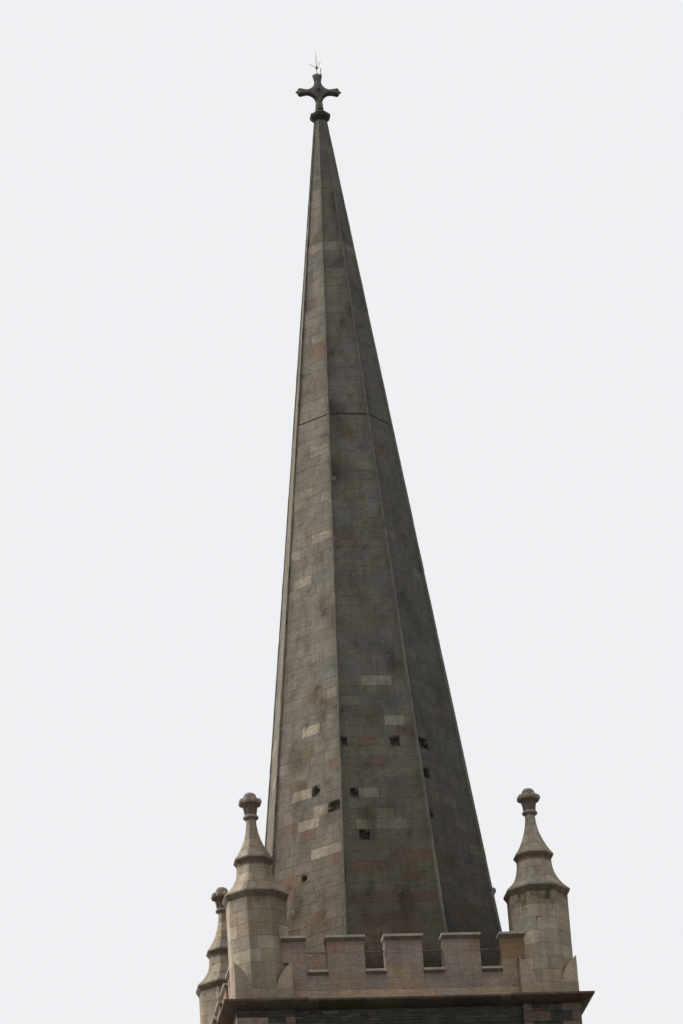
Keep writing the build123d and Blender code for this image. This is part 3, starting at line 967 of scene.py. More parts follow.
def lay_cornice_side(work, rng, side):
    """Lays moulded stones with mitred returns round the pilasters and the corner, then the flags."""
    place, projection, edge = on_tower(), CORNICE_OUT - WALL_OUT, CORNICE_TOP - sizes().fillet
    section = [(-CORNICE_DEPTH, WALL_TOP), (0.0, WALL_TOP), (projection, edge), (projection, CORNICE_TOP),
               (-CORNICE_DEPTH, CORNICE_TOP)]
    first = side * run_length()
    turns = [first + stop for stop in (*side_stops(), run_length())]
    ends = [first + joint for joint in (*CORNICE_JOINTS, run_length() + CORNICE_JOINTS[0])]
    for start, end in zip(ends, ends[1:]):
        kind = rng.choice(("plain", "plain", "brown", "pink", "light"))
        corner = abs((start + end) / 2 % run_length() / run_length() - 0.5) > CORNER_SHARE
        tone = toned(colours().cornice, CASTS[kind])
        tint = shaded(rng, toned(tone, CORNER_SHADE if corner else MIDDLE_SHADE), 0.08)
        bends = [turn for turn in turns if start < turn < end]
        mould(work, rng, place, (start, end), section, MOULDED, tint, cornice_soot_and_shade, bends)
    lay_flags(work, rng, side)


def lay_flags(work, rng, side):
    """Lays flags from the back of the cornice stones to the foot of the spire, over the wall's core."""
    work.at = facing(side)
    inner, outer = WALL_IN, WALL_OUT - sizes().pilaster - CORNICE_DEPTH
    plan = [(-outer, -outer), (outer, -outer), (inner, -inner), (-inner, -inner)]
    core(work, [(WALL_TOP, plan), (CORNICE_TOP - MORTAR_DEPTH, plan)], toned(colours().mortar, 0.5))
    for start, end in random_spans(rng, -inner, inner, FLAG, ()):
        flag = rectangle(start, end, -outer, -inner)
        block(work, rng, [(WALL_TOP, flag), (CORNICE_TOP, flag)], FINE_ASHLAR,
              shaded(rng, toned(colours().cornice, 1.3), 0.12), (0.25, 0.0, 0.3))


class SPIRE_OT_lay_cornice(bpy.types.Operator):
    """Lay the cornice stones, with their splayed underside, and the flags of the walkway"""
    bl_idname = "spire.lay_cornice"
    bl_label = "Cornice"

    def execute(self, context):
        stone = stone_material("cornice_sandstone", bedding=0.6, pits=0.6, streaks=0.7)
        place_sides("cornice", "cornice", lay_cornice_side, stone)
        return {"FINISHED"}


# Parapet

# Heights of the beds above the cornice, lengths of the stones and the paler tone of the lower course
LOWER_BED, MERLON_BED = 0.29, 0.545
LOWER_STONE, UPPER_STONE = 0.55, 0.5
LOWER_TONE = (1.36, 1.32, 1.27)


def merlon_spans():
    """Left and right edges of the three free merlons of a side."""
    half, pitch = sizes().merlon / 2, sizes().merlon + sizes().crenel
    return [(step * pitch - half, step * pitch + half) for step in (-1, 0, 1)]


def crenel_spans():
    """Left and right edges of the four crenels of a side."""
    half, pitch = sizes().crenel / 2, sizes().merlon + sizes().crenel
    return [(step * pitch - half, step * pitch + half) for step in (-1.5, -0.5, 0.5, 1.5)]


def end_plan(hand, front, back, over, clear):
    """Plan of an end merlon, which meets a pinnacle's base, or its shaft where it is clear of the base."""
    near = PILASTER_EDGE
    start = crenel_spans()[3][1] - over
    plan = rectangle(start, near, -front, -back)
    if clear:
        reach = front - (PINNACLE_AT + PINNACLE_HALF * SLOPE)
        plan = [(start, -front), (near + reach, -front), (near, -front + reach), (near, -back),
                (start, -back)]
    if hand < 0:
        plan = [(-x, y) for x, y in reversed(plan)]
    return plan


def parapet_tint(rng, kinds=("plain", "plain", "lilac", "pink", "buff")):
    """Colour of one stone of the parapet."""
    return shaded(rng, toned(colours().parapet, CASTS[rng.choice(kinds)]), 0.07)


def darkened_below(ledge, reach, amount):
    """Darkening of a stone towards a ledge above it."""
    def stain(point):
        return (0.0, 0.0, amount * max(0.0, 1 - (ledge - point.z) / reach))
    return stain


def lay_parapet_side(work, rng, side):
    """Lays the low wall between two pinnacles: one long course, and one that steps up under the crenels."""
    work.at = facing(side)
    low, bed = CORNICE_TOP + LOWER_BED, CORNICE_TOP + MERLON_BED
    hole, near = MORTAR_DEPTH, PILASTER_EDGE
    core_plan = rectangle(-near, near, -PARAPET_FRONT + hole, -PARAPET_BACK - hole)
    core(work, [(CORNICE_TOP, core_plan), (bed - hole, core_plan)], colours().mortar)
    spans = random_spans(rng, -near, near, LOWER_STONE, ())
    joints = [end for _, end in spans[:-1]]
    for start, end in spans:
        tint = toned(parapet_tint(rng, ("plain", "buff", "buff", "pink")), LOWER_TONE)
        plan = rectangle(start, end, -PARAPET_FRONT, -PARAPET_BACK)
        block(work, rng, [(CORNICE_TOP, plan), (low, plan)], FINE_ASHLAR, tint)
    ends = [-near, *[edge for span in crenel_spans() for edge in span], near]
    for number, (left, right) in enumerate(zip(ends, ends[1:])):
        top = PARAPET_TOP if number % 2 else bed
        for start, end in random_spans(rng, left, right, UPPER_STONE, joints):
            plan = rectangle(start, end, -PARAPET_FRONT, -PARAPET_BACK)
            stain = darkened_below(PARAPET_TOP, 0.12, 0.5) if number % 2 else CLEAN
            block(work, rng, [(low, plan), (top, plan)], FINE_ASHLAR, parapet_tint(rng), stain)


def parapet_sandstone():
    """Bedded pinkish sandstone of the parapet."""
    return stone_material("parapet_sandstone", bedding=0.45, pits=0.25, streaks=0.35, depth=0.003)


class SPIRE_OT_lay_parapet(bpy.types.Operator):
    """Lay the low parapet walls between the pinnacles"""
    bl_idname = "spire.lay_parapet"
    bl_label = "Parapet"

    def execute(self, context):
        place_sides("parapet", "parapet", lay_parapet_side, parapet_sandstone())
        return {"FINISHED"}


class SPIRE_OT_lay_merlons(bpy.types.Operator):
    """Lay the merlons, three free ones and two against the pinnacles on each side"""
    bl_idname = "spire.lay_merlons"
    bl_label = "Merlons"

    def execute(self, context):
        rng = random.Random("merlons")
        work = Masonry()
        foot = CORNICE_TOP + MERLON_BED
        beds = [foot + (MERLON_TOP - foot) * index / 3 for index in range(4)]
        for side in range(4):
            work.at = facing(side)
            for number, (left, right) in enumerate(merlon_spans()):
                self.lay_free(work, rng, left, right, beds, number)
            for hand in (-1, 1):
                self.lay_end(work, rng, hand, foot)
        place_piece("merlon_stones", work, [parapet_sandstone(), mortar_material()],
                    ["merlons"])
        return {"FINISHED"}

    def lay_free(self, work, rng, left, right, beds, number):
        """Three courses of through stones, with the joint shifted in each."""
        hole = MORTAR_DEPTH
        plan = rectangle(left + hole, right - hole, -PARAPET_FRONT + hole, -PARAPET_BACK - hole)
        core(work, [(beds[0], plan), (beds[-1], plan)], colours().mortar)
        for course, (foot, top) in enumerate(zip(beds, beds[1:])):
            share = (0.36, 0.68, 0.45)[(course + number) % 3] + rng.uniform(-0.05, 0.05)
            middle = left + (right - left) * share
            for start, end in ((left, middle), (middle, right)):
                stone = rectangle(start, end, -PARAPET_FRONT, -PARAPET_BACK)
                kinds = ("pink", "plain", "lilac", "plain", "red") if course else ("plain", "lilac", "buff")
                stain = darkened_below(MERLON_TOP, 0.10, 0.55) if course == 2 else CLEAN
                block(work, rng, [(foot, stone), (top, stone)], FINE_ASHLAR, parapet_tint(rng, kinds), stain)

    def lay_end(self, work, rng, hand, foot):
        """Stones that run on to the pinnacle, fitted against its shaft above the horn."""
        hole = MORTAR_DEPTH
        plan = end_plan(hand, PARAPET_FRONT - hole, PARAPET_BACK + hole, -hole, False)
        core(work, [(foot, plan), (MERLON_TOP, plan)], colours().mortar)
        levels = (foot, (foot + BASE_TOP) / 2, BASE_TOP, (BASE_TOP + MERLON_TOP) / 2, MERLON_TOP)
        for index, (low, high) in enumerate(zip(levels, levels[1:])):
            plan = end_plan(hand, PARAPET_FRONT, PARAPET_BACK, 0, index > 1)
            kinds = ("plain", "pink", "lilac")
            if hand > 0:
                kinds = ("brown", "ochre") if index > 1 else ("brown", "buff")
            stain = darkened_below(MERLON_TOP, 0.10, 0.5) if index == 3 else CLEAN
            block(work, rng, [(low, plan), (high, plan)], FINE_ASHLAR, parapet_tint(rng, kinds), stain)


# Copings: height of the square edge, overhang to the front and back and at an end, and height of a sill
COPING_EDGE = 0.047
COPING_OVER, COPING_END = 0.05, 0.025
SILL_HEIGHT = 0.12


def coping_soot_and_shade(edge):
    """Soot and painted shade on a coping's splay, and a little moss along its top."""
    def stain(point):
        under = point.z < edge - 0.006
        return (0.0 if under else 0.08, 0.0, 1.0 if under else 0.0)
    return stain


class SPIRE_OT_lay_copings(bpy.types.Operator):
    """Lay the copings on the merlons and in the crenels"""
    bl_idname = "spire.lay_copings"
    bl_label = "Copings"

    def execute(self, context):
        rng = random.Random("copings")
        work = Masonry()
        for side in range(4):
            work.at = facing(side)
            for left, right in merlon_spans():
                middle = left + (right - left) * rng.uniform(0.42, 0.58)
                self.lay_straight(work, rng, left, middle, MERLON_TOP, COPING_TOP, (1, 0))
                self.lay_straight(work, rng, middle, right, MERLON_TOP, COPING_TOP, (0, 1))
            for left, right in crenel_spans():
                self.lay_straight(work, rng, left, right, PARAPET_TOP, PARAPET_TOP + SILL_HEIGHT, (0, 0))
            for hand in (-1, 1):
                lower = end_plan(hand, PARAPET_FRONT, PARAPET_BACK, 0, True)
                upper = end_plan(hand, PARAPET_FRONT + COPING_OVER, PARAPET_BACK - COPING_OVER, COPING_END,
                                 True)
                self.lay_coping(work, rng, lower, upper, MERLON_TOP, COPING_TOP)
        coping = stone_material("coping_stone", bedding=0.25, streaks=0.3)
        place_piece("coping_stones", work, [coping, mortar_material()], ["copings"])
        return {"FINISHED"}

    def lay_straight(self, work, rng, left, right, foot, top, free):
        """One straight coping, which also overhangs at a free end."""
        lower = rectangle(left, right, -PARAPET_FRONT, -PARAPET_BACK)
        upper = rectangle(left - COPING_END * free[0], right + COPING_END * free[1],
                          -PARAPET_FRONT - COPING_OVER, -PARAPET_BACK + COPING_OVER)
        self.lay_coping(work, rng, lower, upper, foot, top)

    def lay_coping(self, work, rng, lower, upper, foot, top):
        """One coping with a splayed underside below a square edge."""
        edge = top - COPING_EDGE
        block(work, rng, [(foot, lower), (edge - 0.009, upper), (edge - 0.003, upper), (top, upper)],
              MOULDED, shaded(rng, colours().coping, 0.08), coping_soot_and_shade(edge))


class SPIRE_OT_finish_frame_pieces(bpy.types.Operator):
    """Finish the rails in the crenels and the corbelled corners under the spire"""
    bl_idname = "spire.finish_frame_pieces"
    bl_label = "Rails and squinches"

    def execute(self, context):
        rail = metal_material("rusted_rail", (0.14, 0.13, 0.12), (0.13, 0.055, 0.025), 0.30, 0.55)
        dress_node("crenel_rails", rail, (0.1, 0.1, 0.1))
        dress_node("squinches", stone_material("squinch_stone", bedding=0.4), toned(colours().spire, 0.9))
        return {"FINISHED"}


def dress_node(name, material, tint):
    """Gives a piece of the frame its material and an even tint."""
    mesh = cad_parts[name].data
    count = len(mesh.vertices)
    paint(mesh, [tint] * count, [CLEAN] * count)
    if not mesh.materials:
        mesh.materials.append(material)
    for index in range(len(mesh.materials)):
        mesh.materials[index] = material


# Pinnacles

SHAFT_COURSES, SHAFT_STONE = 7, 0.52
PINKER = (1.12, 1.04, 1.02)
HORN_BULGE = 0.12

# The lips under the two roofs of a cap: how far they stand out, their height and that of their edge
SKIRT, RIDGE = (0.066, 0.150, 0.032), (0.058, 0.105, 0.026)

# The roofs: their heights, their half widths at the top, and the place of the arc through their middle
LOWER_ROOF, UPPER_ROOF = 0.750, 0.955
UPPER_HALF, NECK_HALF = 0.365, 0.106
LOWER_SWEEP, UPPER_SWEEP, SWEEP_HEIGHT = 0.255, 0.315, 0.43
SKIRT_STONE, RIDGE_STONE, ROOF_STONE = 0.62, 0.55, 0.48

# How much moss each pinnacle carries under its cap, and how strongly soot and painted shade darken it
WEATHER_AND_SHADE = {"front_right": (0.95, 0.28), "front_left": (0.25, 1.0), "back_left": (0.55, 0.9),
             "back_right": (0.4, 0.7)}

# Painted shade and soot on each side of a pinnacle, anticlockwise from its front: darkest on the sides
# turned from the key light, and none on the west side, which faces the light and which the rain washes
SIDE_SHADE_AND_SOOT = (0.44, 0.52, 0.50, 0.35, 0.15, 0.0, 0.0, 0.02)


def side_shade_and_soot(facets, height, sooty):
    """Painted shade and soot on the side of a pinnacle that a point lies on."""
    patch = 0.5 + 0.5 * noise.noise(Vector((facets * 1.3, height * 2.1, 3)))
    return sooty * SIDE_SHADE_AND_SOOT[floor(facets + 0.001) % 8] * (0.3 + 1.4 * patch)


def shaft_stain_and_shade(corner):
    """Moss and rain marks under a cap's skirt, heaviest on the front right pinnacle, with soot and painted
    shade on the sides and just under the skirt.
    """
    mossy, sooty = WEATHER_AND_SHADE[corner]

    def stain(facets, height):
        below = SHAFT_HIGH.z - height
        patch = 0.5 + 0.5 * noise.noise(Vector((facets * 1.9, height * 1.3, mossy * 7)))
        moss = mossy * 1.6 * patch * max(0.0, 1 - below / (0.15 + 0.75 * patch))
        low = max(0.0, 1 - (height - SHAFT_LOW.z) / 0.7) * 0.30 * patch
        # Painted shade and soot on the sides, and more of both just under the skirt
        soot = side_shade_and_soot(facets, height, sooty) + 0.35 * max(0.0, 1 - below / 0.12)
        return (moss + 0.06 * patch, low, min(0.9, soot + low * 0.5))
    return stain


def cap_radius():
    """Half width of a pinnacle's cap at a height, and the heights where its outline turns."""
    foot = CAP_LOW.z
    lip_foot, lip_top = foot + SKIRT[1] - SKIRT[2], foot + SKIRT[1]
    upper = lip_top + LOWER_ROOF
    ridge_foot, ridge_top = upper + RIDGE[1] - RIDGE[2], upper + RIDGE[1]
    lip, ridge = PINNACLE_HALF + SKIRT[0], UPPER_HALF + RIDGE[0]
    top = ridge_top + UPPER_ROOF
    lower_curve = hollow((lip, lip_top), (UPPER_HALF + (lip - UPPER_HALF) * LOWER_SWEEP,
                                          lip_top + LOWER_ROOF * SWEEP_HEIGHT), (UPPER_HALF, upper))
    upper_curve = hollow((ridge, ridge_top), (NECK_HALF + (ridge - NECK_HALF) * UPPER_SWEEP,
                                              ridge_top + UPPER_ROOF * SWEEP_HEIGHT), (NECK_HALF, top))

    def radius(height):
        if height < lip_foot:
            return PINNACLE_HALF + SKIRT[0] * (height - foot) / (lip_foot - foot)
        if height < lip_top:
            return lip
        if height < upper:
            return lower_curve(height)
        if height < ridge_foot:
            return UPPER_HALF + RIDGE[0] * (height - upper) / (ridge_foot - upper)
        if height < ridge_top:
            return ridge
        return upper_curve(min(height, top))
    return radius, (foot, lip_foot, lip_top, upper, ridge_foot, ridge_top, top)


def lay_octagon_course(work, rng, radius, up, usual, dressing, stain, rows=()):
    """Lays a ring of stones round an octagon, with joints away from its corners."""
    place = on_octagon(radius)

    def facet(height):
        return 2 * radius(height) * SLOPE
    narrow = facet(up[1] - 0.001)
    clear = min(0.4, max(0.16, 0.036 / narrow))
    count = max(3, round(8 * facet(up[0]) / usual))
    turn = rng.uniform(0, 8)
    ends = []
    for index in range(count):
        where = turn + 8 * index / count + (rng.uniform(-0.22, 0.22) if index else 0)
        corner = round(where)
        if abs(where - corner) < clear:
            where = corner + (clear if where >= corner else -clear)
        ends.append(where)
    for start, end in zip(ends, [*ends[1:], ends[0] + 8]):
        bends = tuple(float(corner) for corner in range(floor(start) + 1, floor(end) + 1))
        lay(work, rng, place, (start, end), up, dressing, pinnacle_tint(rng), stain, bends, rows, facet)


def pinnacle_tint(rng):
    """Colour of one stone of a pinnacle."""
    kind = rng.choice(("plain", "plain", "grey", "buff", "pink", "light", "lilac"))
    tone = [1 + (channel - 1) * 0.75 for channel in CASTS[kind]]
    return shaded(rng, toned(colours().pinnacle, tone), 0.07)


def lay_base(work, rng, corner):
    """Lays the square base of a pinnacle in four stones, with a curved horn on each corner."""
    half, foot, top, at = PINNACLE_HALF, CORNICE_TOP, SHAFT_LOW.z, work.at
    hole = MORTAR_DEPTH
    inner = rectangle(-half + hole, half - hole, -half + hole, half - hole)
    core(work, [(foot, inner), (top - hole, inner)], colours().mortar)
    across, along = rng.uniform(-0.12, 0.12), rng.uniform(-0.12, 0.12)
    for left, right in ((-half, across), (across, half)):
        for front, back in ((-half, along), (along, half)):
            plan = rectangle(left, right, front, back)
            block(work, rng, [(foot, plan), (top, plan)], BUFF_ASHLAR, toned(pinnacle_tint(rng), PINKER),
                  (0.05, 0.15, 0.14 + 0.18 * WEATHER_AND_SHADE[corner][1]))
    for index in range(4):
        work.at = at @ Matrix.Rotation(pi / 4 + index * pi / 2, 4, "Z")
        lay_horn(work, rng)


def lay_horn(work, rng):
    """Lays one horn along +X: it fills the octagon out to the square and rises to its corner."""
    near, far = PINNACLE_HALF, PINNACLE_HALF * sqrt(2)
    foot, top = SHAFT_LOW.z, BASE_TOP
    centre, bend = arc_through((near, foot), ((near + far) / 2, (foot + top) / 2 + HORN_BULGE), (far, top))
    joint, bevel, steps = 0.003, 0.012, 10
    seed = rng.uniform(0, 100)
    points = []
    for step in range(steps + 1):
        out = near - 0.02 + (far - 0.012 - near + 0.02) * step / steps
        half = far - out - joint
        peak = centre.y + sqrt(bend * bend - (max(out, near) - centre.x) ** 2)
        peak = max(foot + 0.02, peak - 0.003 + 0.003 * noise.noise(Vector((out * 9, seed, 0))))
        soft = min(bevel, half * 0.6)
        points += [Vector((out, half, foot - 0.004)), Vector((out, half, peak - bevel)),
                   Vector((out, half - soft, peak)), Vector((out, -half + soft, peak)),
                   Vector((out, -half, peak - bevel)), Vector((out, -half, foot - 0.004))]
    work.add(points, ring_faces(steps + 1, 6), toned(pinnacle_tint(rng), PINKER), (0.06, 0.10, 0.22))


def lay_shaft(work, rng, corner):
    """Lays the octagonal shaft of a pinnacle."""
    foot, top = SHAFT_LOW.z, SHAFT_HIGH.z
    plan = octagon(PINNACLE_HALF - MORTAR_DEPTH)
    core(work, [(foot, plan), (top, plan)], colours().mortar)
    height = (top - foot) / SHAFT_COURSES
    for course in range(SHAFT_COURSES):
        up = (foot + course * height, foot + (course + 1) * height)
        lay_octagon_course(work, rng, lambda _: PINNACLE_HALF, up, SHAFT_STONE, BUFF_ASHLAR,
                           shaft_stain_and_shade(corner))


def cap_stain_and_shade(corner, turns):
    """Soot and painted shade under the lips of a cap and on its sides, and moss on its roofs."""
    lip_foot, upper, ridge_foot = turns[1], turns[3], turns[4]

    def stain(facets, height):
        under = height < lip_foot - 0.001 or upper - 0.06 < height < ridge_foot - 0.001
        # Under the lips, and on the sides turned from the light, the darkening is soot and painted shade
        soot = 0.95 if under else 0.7 * side_shade_and_soot(facets, height, WEATHER_AND_SHADE[corner][1])
        return (0.35 * noise.noise(Vector((facets, height * 2, 0))) + 0.15, 0.05, soot)
    return stain


def lay_cap(work, rng, corner):
    """Lays the two hollow roofs of a pinnacle over their lips."""
    radius, turns = cap_radius()
    foot, lip_foot, lip_top, upper, ridge_foot, ridge_top, top = turns
    heights = [foot, lip_foot, lip_top]
    heights += [lip_top + (upper - lip_top) * step / 6 for step in range(1, 7)]
    heights += [ridge_foot, ridge_top] + [ridge_top + (top - ridge_top) * step / 8 for step in range(1, 9)]
    core(work, [(height, octagon(radius(height) - MORTAR_DEPTH)) for height in heights], colours().mortar)
    stain = cap_stain_and_shade(corner, turns)
    courses = [(foot, lip_top, SKIRT_STONE, MOULDED, (lip_foot - 0.002, lip_foot + 0.004)),
               (upper, ridge_top, RIDGE_STONE, MOULDED, (ridge_foot - 0.002, ridge_foot + 0.004))]
    for start, end, count in ((lip_top, upper, 3), (ridge_top, top, 4)):
        for index in range(count):
            low, high = [start + (end - start) * part / count for part in (index, index + 1)]
            rows = [low + (high - low) * step / 5 for step in range(1, 5)]
            courses.append((low, high, ROOF_STONE, BUFF_ASHLAR, rows))
    for low, high, usual, dressing, rows in courses:
        lay_octagon_course(work, rng, radius, (low, high), usual, dressing, stain, rows)


class SPIRE_OT_lay_pinnacles(bpy.types.Operator):
    """Lay the base, shaft and cap of each pinnacle"""
    bl_idname = "spire.lay_pinnacles"
    bl_label = "Pinnacles"

    def execute(self, context):
        stones = [stone_material("buff_sandstone", pits=0.45), mortar_material()]
        for corner, (across, along) in CORNERS.items():
            rng = random.Random(f"pinnacle {corner}")
            for part, lay_part in (("base", lay_base), ("shaft", lay_shaft), ("cap", lay_cap)):
                work = Masonry()
                work.at = Matrix.Translation((across * PINNACLE_AT, along * PINNACLE_AT, 0))
                lay_part(work, rng, corner)
                name = f"pinnacle_{part}_{corner}"
                place_piece(name + "_stones", work, stones, [name])
        return {"FINISHED"}


# Carved pieces

def joined(work, name, voxel):
    """One closed mesh round everything that a piece was roughed out from."""
    rough = put(name + "_rough", work.mesh(name + "_rough"))
    remesh = rough.modifiers.new("join", "REMESH")
    remesh.mode = "VOXEL"
    remesh.voxel_size = voxel
    smooth = rough.modifiers.new("soften", "SMOOTH")
    smooth.iterations = 2
    smooth.factor = 0.5
    shape = rough.evaluated_get(bpy.context.evaluated_depsgraph_get())
    mesh = bpy.data.meshes.new_from_object(shape)
    mesh.name = name
    bpy.data.objects.remove(rough)
    mesh.materials.clear()
    return mesh


def wear(mesh, at, seed, amount, tint, stain):
    """Moves a carved mesh to its place, wears its surface and gives it a tint and stains."""
    tints, stains = [], []
    mesh.transform(at)
    normals = [vertex.normal.copy() for vertex in mesh.vertices]
    for vertex, normal in zip(mesh.vertices, normals):
        wave = noise.fractal(vertex.co * 9 + Vector((seed, 0, 0)), 1.0, 2.1, 4)
        pit = max(0.0, noise.noise(vertex.co * 38 + Vector((seed, 5, 0))) - 0.25)
        vertex.co += normal * (wave * amount - amount * 0.9 - pit * amount * 2)
        patch = noise.noise(vertex.co * 5 + Vector((seed, 9, 0)))
        tints.append(toned(tint, 1 + 0.18 * patch))
        stains.append(stain(vertex.co, normal))
    paint(mesh, tints, stains)
    mesh.polygons.foreach_set("use_smooth", [True] * len(mesh.polygons))
    return mesh


def carved_stone():
    """Pitted stone of the carvings."""
    return stone_material("carved_stone", grain=1.2, bedding=0.1, pits=0.8, streaks=0.4)


def ball_profile(centre, radius, squash=1.0):
    """Radii and heights of a ball about the Z axis."""
    steps = 10
    turns = [-pi / 2 + pi * (step + 0.35) / (steps + 0.7) for step in range(steps + 1)]
    return [(radius * cos(turn), centre + radius * squash * sin(turn)) for turn in turns]


def finial_rough():
    """Rounded ring, fluted cup, and a crown of lobes about a knob, at the origin."""
    work = Masonry()
    carving = bpy.context.scene.spire_carving
    ring, height = carving.ring, 0.096
    turned(work, [(ring * 0.66, -0.03), (ring * 0.80, 0.004), (ring, 0.028), (ring, height - 0.028),
                  (ring * 0.80, height - 0.002), (ring * 0.70, 0.12)], 48)
    turned(work, [(0.150, height - 0.02), (0.146, height + 0.03), (0.156, height + 0.10),
                  (0.176, height + 0.19), (0.200, height + 0.27), (0.190, height + 0.305)],
           64, flutes=8, groove=0.16)
    crown = height + 0.304
    for index in range(8):
        turn = (index + 0.5) * EIGHTH
        work.at = Matrix.Translation((carving.crown * cos(turn), carving.crown * sin(turn), crown))
        turned(work, ball_profile(0, carving.lobe), 20)
    work.at = Matrix()
    knob = FINIAL_TOP - CAP_HIGH.z - 0.128
    turned(work, ball_profile(knob, 0.160, 0.78), 36, flutes=4, groove=0.06)
    return work


def finial_soot_and_shade(point, out):
    """Soot and moss in the hollows of a finial, darkest in its fluted cup, and soot and painted shade on
    every side that faces down.
    """
    up = point.z - CAP_HIGH.z
    return (0.12, 0.0, 0.90 if 0.09 < up < 0.33 else 0.15 + 0.75 * max(0.0, -out.z))


def cross_soot_and_shade(_, out):
    """Soot and painted shade on every side of the cross that faces down."""
    return (0.15, 0.0, min(1.0, 0.10 + 1.6 * max(0.0, -out.z)))


class SPIRE_OT_carve_finials(bpy.types.Operator):
    """Carve the finials of the pinnacles"""
    bl_idname = "spire.carve_finials"
    bl_label = "Finials"

    def execute(self, context):
        rough = joined(finial_rough(), "finial_carving", 0.0095)
        for index, (corner, (across, along)) in enumerate(CORNERS.items()):
            at = Matrix.Translation((across * PINNACLE_AT, along * PINNACLE_AT, CAP_HIGH.z))
            mesh = wear(rough.copy(), at, index * 17.0, 0.004, colours().finial, finial_soot_and_shade)
            name = f"pinnacle_finial_{corner}"
            mesh.name = name + "_carving"
            place_piece(name + "_carving", mesh, [carved_stone()], [name])
        return {"FINISHED"}


# Cross: how deep its faces lie, its bevel, the cut of its arms' ends, its balls and rosettes
FACE_BACK, BEVEL_DEPTH, ARM_CUT = 0.016, 0.066, 0.05
BALL, BALL_OUT = 0.034, 0.018
ROSETTE, ROSETTE_BOWL, ROSETTE_BOSS = 0.125, 0.078, 0.045


def cross_middle():
    """Height of the crossing of the cross."""
    return CROSS_HIGH.z - bpy.context.scene.spire_carving.arm


def cross_outline():
    """Closed outline of the cross about its crossing, anticlockwise, as across and up."""
    carving = bpy.context.scene.spire_carving
    arm, flare, toe = carving.arm, carving.flare / 2, carving.foot / 2
    middle = carving.waist / 2 + carving.sweep
    foot = cross_middle() - CROSS_LOW.z

    def sweep(across, up):
        turns = [pi / 20 * step for step in range(11)]
        return [(across * (middle - carving.sweep * sin(turn)), up * (middle - carving.sweep * cos(turn)))
                for turn in turns]
    near, thin = arm - ARM_CUT, flare - ARM_CUT
    return [(near, -flare), (arm, -thin), (arm, thin), (near, flare), *sweep(1, 1),
            (flare, near), (thin, arm), (-thin, arm), (-flare, near), *reversed(sweep(-1, 1)),
            (-near, flare), (-arm, thin), (-arm, -thin), (-near, -flare), *sweep(-1, -1),
            (-toe, -foot), (toe, -foot), *reversed(sweep(1, -1))]


def upright(work, rings, plan_of):
    """Lays a solid whose plans stand upright, facing the front, one behind the other."""
    points = [Vector((across, depth, up + cross_middle())) for depth, share in rings
              for across, up in reversed(plan_of(share))]
    work.add(points, ring_faces(len(rings), len(plan_of(rings[0][1]))), ROUGH)


def cross_rough():
    """Cross with bevelled arms, a ball on each side arm and a square rosette on each face."""
    work = Masonry()
    carving = bpy.context.scene.spire_carving
    face, splay = CROSS_HIGH.y - FACE_BACK, carving.splay
    outline = cross_outline()
    upright(work, ((-face, splay), (-face + BEVEL_DEPTH, 0), (face - BEVEL_DEPTH, 0), (face, splay)),
            lambda share: inset(outline, share))
    diamond = [(ROSETTE, 0), (0, ROSETTE), (-ROSETTE, 0), (0, -ROSETTE)]
    upright(work, ((-CROSS_HIGH.y, 0.80), (-face + 0.004, 1.0), (face - 0.004, 1.0), (CROSS_HIGH.y, 0.80)),
            lambda share: [(across * share, up * share) for across, up in diamond])
    for side in (-1, 1):
        work.at = Matrix.Translation((side * (carving.arm + BALL_OUT), 0, cross_middle()))
        turned(work, ball_profile(0, BALL), 20)
    return work


def hollow_rosettes(mesh):
    """Sinks a round hollow with a small boss into the middle of each rosette."""
    for vertex in mesh.vertices:
        away = sqrt(vertex.co.x ** 2 + (vertex.co.z - cross_middle()) ** 2)
        if away < ROSETTE_BOWL and abs(vertex.co.y) > CROSS_HIGH.y - 0.03:
            bowl = 0.5 + 0.5 * cos(pi * min(1.0, away / ROSETTE_BOWL))
            boss = 0.5 + 0.5 * cos(pi * min(1.0, away / ROSETTE_BOSS))
            vertex.co.y -= (0.040 * min(1.0, bowl * 2.2) - 0.036 * boss) * (1 if vertex.co.y > 0 else -1)


class SPIRE_OT_carve_cross(bpy.types.Operator):
    """Carve the cross on the top of the spire"""
    bl_idname = "spire.carve_cross"
    bl_label = "Cross"

    def execute(self, context):
        mesh = joined(cross_rough(), "cross_carving", 0.0085)
        hollow_rosettes(mesh)
        mesh = wear(mesh, Matrix(), 3.0, 0.0035, colours().cross, cross_soot_and_shade)
        place_piece("cross_carving", mesh, [carved_stone()], ["cross"])
        return {"FINISHED"}


# Collar: its lip's foot and top above the spire and how far it stands out, and half widths of the rest
LIP_FOOT, LIP_TOP, LIP_OUT = 0.10, 0.180, 0.02
COLLAR_FOOT, COLLAR_BEVEL, NECK = 0.165, 0.185, (0.150, 0.128)


